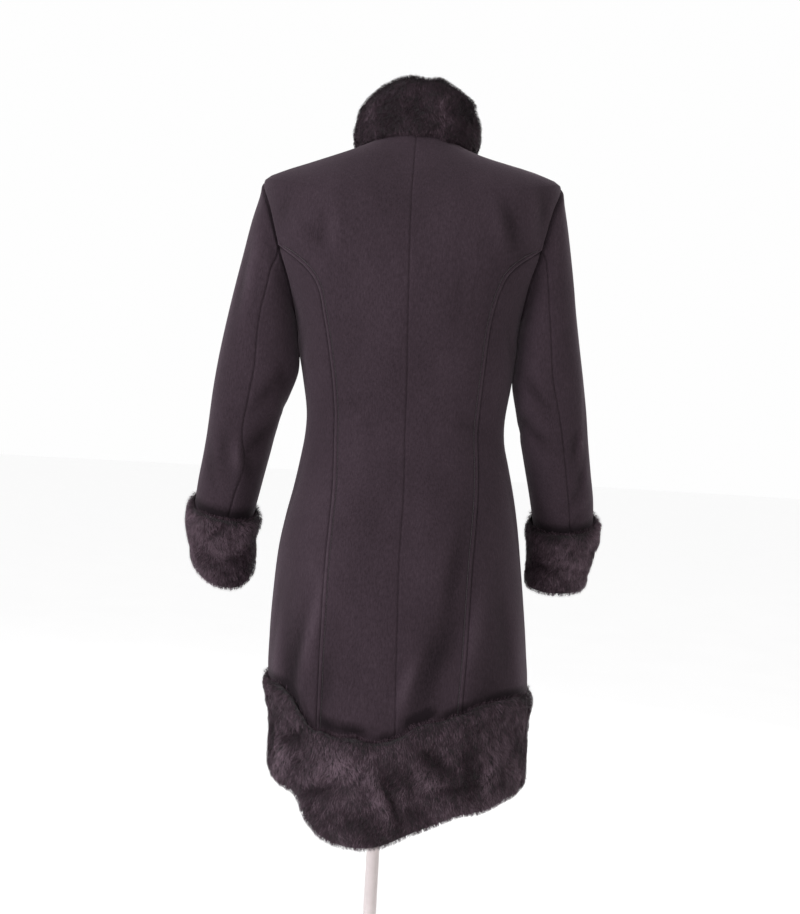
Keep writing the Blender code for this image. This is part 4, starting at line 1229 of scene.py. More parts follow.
@dataclass
class Panel(WoolPiece):
    """A wool panel between two edges of the coat's body.

    start and end give an edge's angle at a level. A free start is the open front.
    """
    start: Callable[[np.ndarray], np.ndarray]
    end: Callable[[np.ndarray], np.ndarray]
    levels: np.ndarray
    end_stitched: bool = False
    start_free: bool = False
    lap: Optional[Callable[[np.ndarray, np.ndarray], np.ndarray]] = None
    inner_count: int = CENTRE_STEPS
    stitches: list[StitchRow] = field(default_factory=list)

    def build(self, coat: CoatSurface, finish: Finish) -> None:
        """Build the panel's wall.

        Args:
            coat: the body's surface.
            finish: the cloth.
        """
        levels, angles = self.levels[:, None], self.angles(coat)
        points = coat.point(angles, levels)
        normals = coat.normal(angles, np.broadcast_to(levels, angles.shape))
        if self.lap is not None:
            points = points - normals * self.lap(angles, levels)[..., None]
        depth = coat.creases(points, levels)
        # Painted shade and light: creases and folds darken the colour in their hollows and lighten
        # it on their ridges, and a painted shadow runs just above the fur band.
        shade = -(depth + coat.fold_depth(angles, levels)) / CREASE_SHADE
        above_fur = levels - HEM_LEVEL - coat.band_rise(angles)
        shade -= FUR_SHADOW * bump(above_fur - FUR_SHADOW_UP, FUR_SHADOW_HALF)
        relief = Relief(points, normals, depth, shade)
        self.finish_edge(relief, 0, self.start_free, False)
        self.finish_edge(relief, -1, False, self.end_stitched)
        # Painted shade along the armhole seam, beside its pressed dip.
        on_arm = (levels > UNDERARM) & (levels < SHOULDER_TIP + ARM_END)
        if "centre" in self.name:
            on_arm = on_arm & (levels > PRINCESS_TOP)
        seam = bump(relief.away(-1), ARM_HALF) * on_arm
        relief.depth += ARM_DIP * seam
        relief.shade -= ARM_SHADE * seam
        self.hang(relief, finish, "form_torso")

    def angles(self, coat: CoatSurface) -> np.ndarray:
        """Angles of the panel's columns, which crowd near its seams.

        Args:
            coat: the body's surface.
        Returns:
            Rows by columns.
        """
        spread = np.linspace(self.start(self.levels), self.end(self.levels), SPREAD_SAMPLES).T
        reach = lengths_along(coat.point(spread, self.levels[:, None]))
        return np.array([
            np.interp(spaced_shares(max(keys[-1], NARROWEST), self.inner_count) * keys[-1],
                      keys, row) for keys, row in zip(reach, spread)])

    def finish_edge(self, relief: Relief, edge: int, free: bool, stitched: bool) -> None:
        """Press a seam or roll a free edge, and stitch beside it.

        Args:
            relief: the panel's outside, which is changed.
            edge: 0 for the first column, -1 for the last.
            free: True where the edge is no seam.
            stitched: True for a seam with topstitching.
        """
        away = relief.away(edge)
        if free:
            relief.depth += EDGE_ROLL * bump(away, EDGE_ROLL_HALF)
        else:
            plain = not stitched and "side" not in self.name
            # Painted shade along the seam, beside its pressed dip.
            relief.depth += SEAM_DIP * bump(away, SEAM_HALF)
            relief.shade -= (PLAIN_SEAM_SHADE if plain else SEAM_SHADE) * bump(away, SEAM_LINE)
        if not (stitched or free):
            return
        sewn = ((self.levels <= PRINCESS_TOP) | self.start_free)[:, None]
        stitch, ridge = away - STITCH_LINE, away - STITCH_LINE / 2
        # Painted shade along the stitches and painted light on the ridge between them and the
        # seam.
        relief.depth += STITCH_DIP * bump(stitch, STITCH_HALF) * sewn
        relief.depth -= STITCH_SWELL * bump(ridge, STITCH_LINE / 3) * sewn
        relief.shade -= STITCH_SHADE * bump(stitch, STITCH_HALF) * sewn
        relief.shade += RIDGE_LIGHT * bump(ridge, STITCH_LINE / 4) * sewn
        self.stitches.append(self.stitch_row(relief, away, edge))

    def stitch_row(self, relief: Relief, away: np.ndarray, edge: int) -> StitchRow:
        """The line that runs beside a seam at the stitches' distance.

        Args:
            relief: the panel's outside.
            away: distances from the seam.
            edge: 0 or -1, the seam's column.
        Returns:
            The line.
        """
        step = 1 if edge == 0 else -1
        sunk, line, ways = relief.sunk(), [], []
        for row, level in enumerate(self.levels):
            if away[row].max() <= STITCH_LINE * STITCH_ROOM:
                continue
            if level > PRINCESS_TOP and not self.start_free:
                break
            near = away[row][::step][:len(EDGE_STEPS) + 2]
            spot = np.searchsorted(near, STITCH_LINE)
            share = (STITCH_LINE - near[spot - 1]) / max(near[spot] - near[spot - 1], TINY)
            pair = sunk[row][::step][spot - 1:spot + 1]
            line.append(pair[0] + (pair[1] - pair[0]) * share)
            ways.append(relief.normals[row][::step][spot])
        return StitchRow(np.array(line), np.array(ways))


@dataclass
class SleeveHalf(WoolPiece):
    """The upper or the under half of a sleeve."""
    side: Side
    upper: bool

    def build(self, coat: CoatSurface, finish: Finish) -> None:
        """Build the sleeve half's wall.

        Args:
            coat: the body's surface.
            finish: the cloth.
        """
        sleeve = SleeveSurface(self.side, coat)
        share = (spaced_shares(UPPER_WIDTH, UPPER_STEPS) if self.upper
                 else spaced_shares(UNDER_WIDTH, UNDER_STEPS))
        rings = [SLEEVE_START] + list(range(2, SLEEVE_END + 1))
        whole = 2 * ARMHOLE_STEPS
        seat, seat_normal = sleeve.armhole(self.around(
            share, SLEEVE_SEAM_STEP + SEAM_RAISE, whole - SLEEVE_SEAM_STEP, whole))
        control = np.array([seat] + [
            sleeve.point(self.around(share, float(sleeve.rings.at("seam", ring)),
                                     360 - FRONT_SLEEVE_SEAM, 360), float(ring))
            for ring in rings])
        keys = np.concatenate([[0], np.cumsum(
            np.linalg.norm(np.diff(control, axis=0), axis=2).mean(axis=1))])
        fine = np.concatenate([np.array(EDGE_STEPS[:SEAT_STEPS]),
                               np.linspace(SLEEVE_ROWS_START, keys[-1], SLEEVE_ROWS)])
        points = curve(control, keys, fine)
        normals = grid_normals(points, self.outward(sleeve, points))
        blend = bump(fine, SEAT_BLEND)[:, None, None]
        normals = unit(normals * (1 - blend) + seat_normal[None] * blend)
        depth = sleeve.creases(points)
        # Painted shade in the creases' hollows and painted light on their ridges.
        shade = -depth / CREASE_SHADE
        depth += (ARM_DIP * bump(fine, ARM_HALF)
                  - HEAD_SWELL * bump(fine - HEAD_PLACE, HEAD_HALF))[:, None]
        # Painted shade along the armhole seam and a painted shadow just above the cuff.
        shade -= ARM_SHADE * bump(fine, ARM_HALF)[:, None]
        ring_of_row = np.interp(fine, keys, [0.0] + rings)
        shade -= FUR_SHADOW * bump(ring_of_row - CUFF_SHADOW_RING, CUFF_SHADOW_HALF)[:, None]
        relief = Relief(points, normals, depth, shade)
        # Painted shade along the sleeve half's two seams.
        for edge in (0, -1):
            away = relief.away(edge)
            relief.depth += SEAM_DIP * bump(away, SEAM_HALF)
            relief.shade -= SLEEVE_SEAM_SHADE * bump(away, SEAM_LINE)
        self.hang(relief, finish, "back_side_" + self.side.hand)

    def around(self, share: np.ndarray, back: float, front: float, whole: float) -> np.ndarray:
        """Steps or turns of this half's columns, from its first seam to its last.

        Args:
            share: shares from 0 to 1.
            back: place of the back seam.
            front: place of the front seam.
            whole: once round.
        Returns:
            Places.
        """
        if self.upper:
            return back + (front - back) * share
        return front + (back + whole - front) * share

    def outward(self, sleeve: SleeveSurface, points: np.ndarray) -> np.ndarray:
        """Rough outward directions: away from the middle of the sleeve's ring.

        Args:
            sleeve: the sleeve's surface.
            points: rows by columns.
        Returns:
            Directions.
        """
        rings = np.linspace(SLEEVE_START, SLEEVE_END, MIDDLE_SAMPLES)[:, None]
        centres = sleeve.point(np.arange(0, 360, MIDDLE_TURN)[None, :], rings).mean(axis=1)
        off = points[..., None, :] - centres
        nearest = np.argmin(np.sum(off ** 2, -1), axis=-1)
        return points - centres[nearest]


@dataclass
class Stitching:
    """All topstitches, as one joined mesh of small threads."""
    rows: list[StitchRow]
    pitch: float = 0.0042
    length: float = 0.0033
    radius: float = 0.00036

    def build(self, finish: Finish) -> None:
        """Lay a stitch at each pitch along every row.

        Args:
            finish: the thread.
        """
        points, turns = [], []
        for row in self.rows:
            keys = lengths_along(row.points)
            spots = np.arange(self.pitch, keys[-1] - self.pitch, self.pitch)
            middle = curve(row.points, keys, spots)
            way = unit(curve(row.points, keys, spots + STITCH_NUDGE) - middle)
            normal = unit(np.stack([np.interp(spots, keys, row.normals[:, k])
                                    for k in range(3)], -1))
            across = unit(np.cross(way, normal))
            points.append(middle + normal * self.radius * 0.5)
            turns.append(np.stack([across * self.radius, np.cross(across, way) * self.radius,
                                   way * self.length], axis=1))
        mesh = joined_copies("topstitch", *thread_shape(), np.concatenate(points),
                             np.concatenate(turns))
        mount(place_object("topstitching", mesh, finish, sharp=60))


def thread_shape() -> tuple[np.ndarray, np.ndarray]:
    """A short length of thread with rounded ends, one unit long and thick.

    Returns:
        Its vertices and its triangles.
    """
    bm = bmesh.new()
    bmesh.ops.create_cone(bm, segments=STITCH_SIDES, radius1=1.0, radius2=1.0, depth=1.0,
                          cap_ends=True, cap_tris=True)
    for vertex in bm.verts:
        if abs(vertex.co.x) + abs(vertex.co.y) < CAP_CENTRE:
            vertex.co.z *= STITCH_SWOLLEN
    return triangle_arrays(bm)


def triangle_arrays(bm: bmesh.types.BMesh) -> tuple[np.ndarray, np.ndarray]:
    """Vertices and triangles of a body, which is freed.

    Args:
        bm: the body.
    Returns:
        Its vertices and its triangles.
    """
    bmesh.ops.triangulate(bm, faces=bm.faces[:])
    shape = np.array([vertex.co[:] for vertex in bm.verts])
    faces = np.array([[vertex.index for vertex in face.verts] for face in bm.faces])
    bm.free()
    return shape, faces


def joined_copies(name: str, shape: np.ndarray, faces: np.ndarray, origins: np.ndarray,
                  turns: np.ndarray) -> bpy.types.Mesh:
    """One mesh of many copies of a small shape.

    Args:
        name: the mesh's name.
        shape: the shape's vertices.
        faces: its triangles.
        origins: where each copy goes.
        turns: rows that the shape's axes turn into, for each copy.
    Returns:
        The mesh.
    """
    vertices = origins[:, None, :] + np.einsum("vk,nkc->nvc", shape, turns)
    offsets = np.arange(len(origins)) * len(shape)
    triangles = faces[None] + offsets[:, None, None]
    return triangle_mesh(name, vertices.reshape(-1, 3), triangles.reshape(-1, 3))


def triangle_mesh(name: str, vertices: np.ndarray, triangles: np.ndarray) -> bpy.types.Mesh:
    """A mesh from arrays of vertices and triangles.

    Args:
        name: the mesh's name.
        vertices: points.
        triangles: three vertex numbers each.
    Returns:
        The mesh.
    """
    mesh = bpy.data.meshes.new(name)
    mesh.vertices.add(len(vertices))
    mesh.vertices.foreach_set("co", vertices.astype(np.float32).ravel())
    mesh.loops.add(len(triangles) * 3)
    mesh.loops.foreach_set("vertex_index", triangles.astype(np.int32).ravel())
    mesh.polygons.add(len(triangles))
    mesh.polygons.foreach_set("loop_start", np.arange(0, len(triangles) * 3, 3, dtype=np.int32))
    mesh.update(calc_edges=True)
    return mesh


# ---- fur ----

STRAND_CAP = 61500
# Waves of the pile's ripples, as a size and a first seed
TUFT, SWAY, FINE, SWELL, PIT = (0.012, 20), (0.045, 30), (0.0048, 40), (0.030, 5), (0.011, 9)
PIT_PART = 0.4
# Stations along a piece, points round it and metres that one unit of along stands for
CUFF_STATIONS, COLLAR_STATIONS, TRIM_POINTS, HEM_POINTS = 72, 96, 44, 64
CUFF_UNIT, COLLAR_UNIT = 0.044, 0.070
SHORTEST, LONGEST = 0.0040, 0.0110
FLATTEST, STEEPEST = 1.45, 0.05
KNEE_BEND, TIP_BEND, KNEE_WIDTH = 0.30, 0.28, 0.85
ROOTED, DENT_FACING = 0.0006, 0.3
END_START, BARE_FADE = 0.55, 0.0015
INSET_RANGE, RELIEF_RANGE = (0.0015, 0.0070), (0.0030, 0.0080)
LIFT_RANGE, SUNK_RANGE = (0.0020, 0.0050), (0.0, 0.010)
FOOT_START, PINCH_END, SUNK_END, RISE_START, SUNK_PART = 0.5, 0.40, 0.25, 0.3, 0.6
SEAM_GAP_ANGLE, FRONT_GAP_ANGLE = 0.05, 0.1


@dataclass(frozen=True)
class Nap:
    """How a fur piece's pile lies: metres, radians and strands to a square metre.

    The fields named after tuft, sway, fine, clump and spread say how much it varies.
    """
    length: float = 0.0078
    width: float = 0.00038
    lean: float = 1.12
    spread: float = 0.26
    tone: float = 0.50
    density: float = 1000000.0
    seed: int = 1
    lean_tuft: float = 0.20
    lean_sway: float = 0.16
    lean_spread: float = 0.13
    turn_sway: float = 0.45
    turn_fine: float = 0.30
    length_tuft: float = 0.14
    length_spread: float = 0.10
    width_spread: float = 0.25
    twist: float = 0.35
    tone_spread: float = 0.18
    tone_clump: float = 0.09


@dataclass
class FurPiece:
    """A fur piece: a soft ground with strands on its outside.

    The ground is drawn in by inset, and at its far end by a share, end_inset. It
    rolls by swell, and bare of strands are the places that stand out less than bare.
    """
    name: str
    cut: Cut
    held: Held
    rests_on: Sequence[str]
    surface: Callable[[np.ndarray, np.ndarray, np.ndarray], np.ndarray]
    stations: np.ndarray
    outline: np.ndarray
    closed_path: bool
    nap: Nap
    inset: float = 0.0034
    end_inset: float = 0.030
    swell: float = 0.0012
    bare: float = 0.0022

    def grounded(self) -> np.ndarray:
        """Points of the ground: the CAD's outline drawn in by the pile's height.

        Returns:
            Stations by points round the outline.
        """
        along, out = self.outline[:, 0], self.outline[:, 1]
        far = (along - along.min()) / np.ptp(along)
        along = along - self.end_inset * np.ptp(along) * ease(END_START, 1.0, far)
        shrink = self.inset * ease(*INSET_RANGE, out)
        points = self.surface(self.stations[:, None], along[None, :], (out - shrink)[None, :])
        normals = self.ground_normals(points)
        amount = ease(*RELIEF_RANGE, out)[None, :]
        relief = self.swell * self.ripple(SWELL, points)
        relief += PIT_PART * self.swell * self.ripple(PIT, points)
        relief -= dents_depth(points, normals)
        return points + normals * (relief * amount)[..., None]

    def ripple(self, waves: tuple[float, int], points: np.ndarray) -> np.ndarray:
        """The piece's own unevenness at points, from waves of a size and a first seed."""
        size, first = waves
        return Ripple(size, first + self.nap.seed).at(points)

    def ground_normals(self, points: np.ndarray) -> np.ndarray:
        """Outward normals of the ground.

        Args:
            points: stations by points round.
        Returns:
            Unit normals.
        """
        around = np.roll(points, -1, axis=1) - np.roll(points, 1, axis=1)
        if self.closed_path:
            along = np.roll(points, -1, axis=0) - np.roll(points, 1, axis=0)
        else:
            along = np.gradient(points, axis=0)
        normals = unit(np.cross(along, around))
        middle = points.mean(axis=1, keepdims=True)
        sign = np.sign(np.sum(normals * (points - middle)))
        return normals * sign

    def build(self, hide: Finish, pile: Finish) -> None:
        """Build the ground and its pile.

        Args:
            hide: the ground's finish.
            pile: the strands' finish.
        """
        points = self.grounded()
        ground = place_object(self.name + "_ground",
                              tube_mesh(self.name, points, self.closed_path), hide, sharp=70)
        strands = self.strands(points, pile)
        mount(ground, self.name)
        mount(strands)
        declare(ground, self.cut)

    def strands(self, points: np.ndarray, pile: Finish) -> bpy.types.Object:
        """Strands that stand on the ground's outside and lie down along the nap.

        Args:
            points: the ground's points.
            pile: the strands' finish.
        Returns:
            The piece.
        """
        random = np.random.default_rng(self.nap.seed)
        normals = self.ground_normals(points)
        down = unit(np.roll(points, -1, axis=1) - np.roll(points, 1, axis=1))
        if self.closed_path:
            points, normals, down = (np.concatenate([a, a[:1]]) for a in (points, normals, down))
        points, normals, down = (np.concatenate([a, a[:, :1]], axis=1)
                                 for a in (points, normals, down))
        out = np.append(self.outline[:, 1], self.outline[0, 1])
        cover = ease(self.bare, self.bare + BARE_FADE, out)
        side_a = points[1:, :-1] - points[:-1, :-1]
        side_b = points[:-1, 1:] - points[:-1, :-1]
        area = np.linalg.norm(np.cross(side_a, side_b), axis=2)
        area = area * ((cover[1:] + cover[:-1]) / 2)[None, :]
        count = int(min(area.sum() * self.nap.density, STRAND_CAP))
        LOG.info("%s: %d strands on %.4f square metres", self.name, count, area.sum())
        cells = random.choice(area.size, size=count, p=(area / area.sum()).ravel())
        i, j = np.unravel_index(cells, area.shape)
        u, v = random.random(count)[:, None], random.random(count)[:, None]

        def spot(grid: np.ndarray) -> np.ndarray:
            """A grid's values at the roots."""
            low = grid[i, j] * (1 - u) + grid[i + 1, j] * u
            high = grid[i, j + 1] * (1 - u) + grid[i + 1, j + 1] * u
            return low * (1 - v) + high * v

        root, normal, nap = spot(points), unit(spot(normals)), unit(spot(down))
        return self.blades(root, normal, nap, random, pile)

    def blades(self, root: np.ndarray, normal: np.ndarray, nap: np.ndarray,
               random: np.random.Generator, pile: Finish) -> bpy.types.Object:
        """Join one tapered blade for each root.

        Args:
            root: where the strands stand.
            normal: outward directions.
            nap: directions in which the pile lies.
            random: the piece's own random numbers.
            pile: the strands' finish.
        Returns:
            The piece.
        """
        count, lay = len(root), self.nap
        side = unit(np.cross(normal, nap))
        tuft, sway, fine = (self.ripple(waves, root) for waves in (TUFT, SWAY, FINE))
        lean = (lay.lean + lay.lean_tuft * tuft + lay.lean_sway * sway
                + random.normal(0, lay.lean_spread, count))
        turn = (lay.turn_sway * sway + lay.turn_fine * fine
                + random.normal(0, lay.spread, count))
        flat_way = nap * np.cos(turn)[:, None] + side * np.sin(turn)[:, None]
        length = lay.length * (1 + lay.length_tuft * tuft
                               + random.normal(0, lay.length_spread, count))
        length = np.clip(length, SHORTEST, LONGEST)[:, None]

        def way(angle: np.ndarray) -> np.ndarray:
            """Directions that lean by an angle from the normals."""
            angle = np.clip(angle, STEEPEST, FLATTEST)
            return normal * np.cos(angle)[:, None] + flat_way * np.sin(angle)[:, None]

        knee = root + way(lean - KNEE_BEND) * length * 0.5
        tip = knee + way(lean + TIP_BEND) * length * 0.5
        flank = unit(np.cross(way(lean), normal) + lay.twist * random.normal(size=(count, 3)))
        half = lay.width / 2 * random.uniform(1 - lay.width_spread, 1 + lay.width_spread,
                                              (count, 1))
        foot, bend = root - normal * ROOTED, flank * half * KNEE_WIDTH
        corners = np.stack([foot - flank * half, foot + flank * half, knee + bend, knee - bend,
                            tip], axis=1)
        start = (np.arange(count) * 5)[:, None, None]
        triangles = np.array([[0, 1, 2], [0, 2, 3], [3, 2, 4]])[None] + start
        mesh = triangle_mesh(self.name + "_pile", corners.reshape(-1, 3),
                             triangles.reshape(-1, 3))
        tone = (lay.tone + lay.tone_spread * random.normal(size=count)
                + lay.tone_clump * tuft + lay.tone_clump * sway)
        # Painted shade and light: strands in dents are darker, strands on swells lighter.
        tone = np.clip(tone - dents_depth(root, normal) / DENT_SHADE, 0, 1)
        for title, values in (("tone", np.repeat(tone, 5)),
                              ("tip", np.tile([0.0, 0.0, 0.5, 0.5, 1.0], count))):
            layer = mesh.attributes.new(title, "FLOAT", "POINT")
            layer.data.foreach_set("value", values.astype(np.float32))
        return place_object(self.name + "_pile", mesh, pile, sharp=180)


def dents_depth(points: np.ndarray, normals: np.ndarray) -> np.ndarray:
    """Depth of the fur's dents, added up.

    Args:
        points: places on the fur.
        normals: the outward normals there.
    Returns:
        Depth inwards.
    """
    depth = np.zeros(points.shape[:-1])
    for dent in FUR_DENTS:
        lean = math.radians(dent.lean)
        x, z = points[..., 0] - dent.x, points[..., 2] - dent.z
        across = x * math.cos(lean) + z * math.sin(lean)
        along = -x * math.sin(lean) + z * math.cos(lean)
        facing = ease(0.0, DENT_FACING, -normals[..., 1] if dent.front else normals[..., 1])
        depth += (dent.depth * bump(across, dent.half_width)
                  * bump(along, dent.half_length) * facing)
    return depth


# ---- the coat ----

@dataclass
class WoolShell:
    """All wool panels and their topstitching."""
    coat: CoatSurface
    finishes: Finishes

    def rows(self, top: float) -> np.ndarray:
        """Levels of a panel's rows up to a top level.

        Args:
            top: level of the last row.
        Returns:
            Rising levels.
        """
        skirt = np.linspace(HEM_LEVEL, UNDERARM, SKIRT_ROWS)
        phase = (1 - np.cos(np.linspace(0, np.pi, ARMHOLE_ROWS))) / 2
        armhole = UNDERARM + (SHOULDER_TIP - UNDERARM) * phase
        shoulder = np.linspace(SHOULDER_TIP, NECKLINE, SHOULDER_ROWS)
        levels = np.unique(np.round(np.concatenate([skirt, armhole, shoulder]), 6))
        return levels[levels <= top + 1e-6]

    def lap_depth(self, angle: np.ndarray, level: np.ndarray) -> np.ndarray:
        """How far the left front lies below the right one.

        Args:
            angle: degrees round the body.
            level: named height.
        Returns:
            Depth inwards.
        """
        edge = 180 - self.coat.lap_angle(level + 0 * angle)
        share = (angle - edge + LAP_EASE_ANGLE) / LAP_EASE_ANGLE
        return (WALL + REST_GAP) * ease(0, 1, share)

    def panels(self) -> list[Panel]:
        """The eight body panels.

        Returns:
            The panels.
        """
        coat, full = self.coat, self.rows(NECKLINE)
        low = self.rows(PRINCESS_TOP)
        made = []
        for side in Side:
            sign = side.value
            for front in (False, True):
                area = "front" if front else "back"
                if front:
                    start = (lambda level, s=sign: s * (180 + coat.lap_angle(level)))
                else:
                    start = (lambda level: np.zeros_like(level))
                made.append(Panel(
                    f"{area}_centre_{side.hand}", CUTS[f"{area}_centre"], start,
                    lambda level, s=side, f=front: coat.outer_angle(s, f, level), full,
                    end_stitched=True, start_free=front and side is Side.RIGHT,
                    lap=self.lap_depth if front and side is Side.LEFT else None))
                made.append(Panel(
                    f"{area}_side_{side.hand}", CUTS[f"{area}_side"],
                    lambda level, s=side, f=front: coat.princess_angle(s, f, level),
                    lambda level, s=side, f=front: np.where(
                        level <= UNDERARM, s.value * 90.0, coat.armhole_angle(s, f, level)),
                    low, inner_count=SIDE_STEPS))
        return made

    def build(self) -> None:
        """Build panels, sleeves and stitches."""
        rows: list[StitchRow] = []
        for panel in self.panels():
            panel.build(self.coat, self.finishes.wool)
            rows.extend(panel.stitches)
            LOG.info("%s", panel.name)
        for side in Side:
            for upper, title in ((True, "upper_sleeve"), (False, "under_sleeve")):
                SleeveHalf(f"{title}_{side.hand}", CUTS[title], side, upper).build(
                    self.coat, self.finishes.wool)
        Stitching([row for row in rows if len(row.points) >= FEWEST_STITCHES]).build(
            self.finishes.thread)


@dataclass
class FurTrim:
    """The collar, the cuffs and the hem band."""
    coat: CoatSurface
    finishes: Finishes

    def on_coat(self, angle: np.ndarray, along: np.ndarray, out: np.ndarray) -> np.ndarray:
        """A place of the hem band.

        Args:
            angle: degrees round the coat.
            along: share of the band's height from its top.
            out: distance out of the coat.
        Returns:
            Points.
        """
        angle = angle + 0 * along
        lift = self.coat.band_rise(angle) * ease(*LIFT_RANGE, out) * (1 - ease(0, 1, along))
        lift += self.coat.band_foot.at("rise", turned(angle)) * ease(FOOT_START, 1, along)
        corner = bump(np.abs(angle) - BAND_CORNER, BAND_CORNER_HALF)
        out = out * (1 - BAND_PINCH * corner * (1 - ease(0, PINCH_END, along)))
        level = HEM_LEVEL - BAND_HEIGHT * along + lift
        return self.coat.point(angle, level) + self.coat.normal(angle, level) * out[..., None]

    def on_neck(self, angle: np.ndarray, along: np.ndarray, out: np.ndarray) -> np.ndarray:
        """A place of the collar.

        Args:
            angle: degrees round the neck.
            along: share of the collar's height.
            out: distance out of the neckline.
        Returns:
            Points.
        """
        angle = angle + 0 * along
        foot = self.coat.point(angle, np.full_like(angle, NECKLINE))
        outward = self.coat.normal(angle, np.full_like(angle, NECKLINE))
        outward[..., 2] = 0
        share = ((1 + np.cos(np.radians(angle))) / 2) ** COLLAR_CURVE
        top = COLLAR_FRONT_TOP + (COLLAR_BACK_TOP - COLLAR_FRONT_TOP) * share
        points = foot + unit(outward) * out[..., None]
        sunk = ease(*SUNK_RANGE, out) * ease(SUNK_END, 0.0, along)
        sunk = sunk * COLLAR_SEAM_DROP * SUNK_PART
        points[..., 2] = foot[..., 2] + (top - foot[..., 2]) * along - sunk
        rise = self.coat.collar_rise.at("rise", turned(angle))
        points[..., 2] += rise * ease(RISE_START, 1, along)
        points[..., 0] -= COLLAR_LEAN * along
        return points

    def cuff(self, side: Side) -> FurPiece:
        """A turned-back cuff.

        Args:
            side: side of the wearer.
        Returns:
            The piece.
        """
        sleeve = SleeveSurface(side, self.coat)

        def surface(turn: np.ndarray, ring: np.ndarray, out: np.ndarray) -> np.ndarray:
            """Points out of the sleeve at turns and rings."""
            turn, ring = turn + 0 * ring, ring + 0 * turn
            return sleeve.point(turn, ring) + sleeve.normal(turn, ring) * out[..., None]

        return FurPiece(
            f"fur_cuff_{side.hand}", CUTS["fur_cuff"], Held.FOLDED,
            [f"upper_sleeve_{side.hand}_cloth"], surface,
            np.linspace(0, 360, CUFF_STATIONS, endpoint=False),
            closed_outline(CUFF_OUTLINE, CUFF_UNIT, TRIM_POINTS),
            True, Nap(seed=11 + side.value, tone=0.60))

    def build(self) -> None:
        """Build every fur piece."""
        coat = self.coat
        hem_outline = closed_outline(HEM_OUTLINE, BAND_HEIGHT, HEM_POINTS)
        lap = float(coat.lap_angle(np.array(HEM_LEVEL)))
        near, far = 90 - SEAM_GAP_ANGLE, 90 + SEAM_GAP_ANGLE
        spans = (("fur_hem_back", -near, near, 110, 3),
                 ("fur_hem_left", far, 180 - FRONT_GAP_ANGLE, 60, 4),
                 ("fur_hem_right", -180 - lap, -far, 70, 5))
        pieces = [FurPiece(name, CUTS[name], Held.HUNG, ["back_centre_left_cloth"], self.on_coat,
                           np.linspace(low, high, count), hem_outline, False,
                           Nap(seed=seed))
                  for name, low, high, count, seed in spans]
        reach = 180 - COLLAR_OPENING
        pieces.append(FurPiece(
            "fur_collar", CUTS["fur_collar"], Held.FOLDED, ["back_centre_left_cloth"],
            self.on_neck, np.linspace(-reach, reach, COLLAR_STATIONS),
            closed_outline(COLLAR_OUTLINE, COLLAR_UNIT, TRIM_POINTS), False,
            Nap(seed=7, density=1200000.0, length=0.0064, tone=0.24),
            bare=0.0015))
        pieces.extend(self.cuff(side) for side in Side)
        for piece in pieces:
            piece.build(self.finishes.hide, self.finishes.pile)


CUTS = {
    "back_centre": Cut(0.20, 0.79, 0.111),
    "back_side": Cut(0.17, 0.60, 0.070),
    "front_centre": Cut(0.23, 0.79, 0.1175),
    "front_side": Cut(0.18, 0.60, 0.078),
    "upper_sleeve": Cut(0.26, 0.60, 0.098),
    "under_sleeve": Cut(0.15, 0.48, 0.053),
    "fur_hem_back": Cut(0.57, 0.18, 0.0745),
    "fur_hem_left": Cut(0.29, 0.18, 0.0376),
    "fur_hem_right": Cut(0.32, 0.18, 0.0415),
    "fur_collar": Cut(0.43, 0.080, 0.0188),
    "fur_cuff": Cut(0.29, 0.120, 0.0295),
}


@dataclass
class Stand:
    """The form and its stand: CAD nodes that keep their shape."""
    finishes: Finishes

    def build(self) -> None:
        """Give each node its finish."""
        for name, finish in (("form_torso", self.finishes.jersey),
                             ("form_pole", self.finishes.enamel),
                             ("form_base", self.finishes.enamel)):
            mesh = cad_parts[name].data
            mesh.materials.clear()
            mesh.materials.append(finish.material)


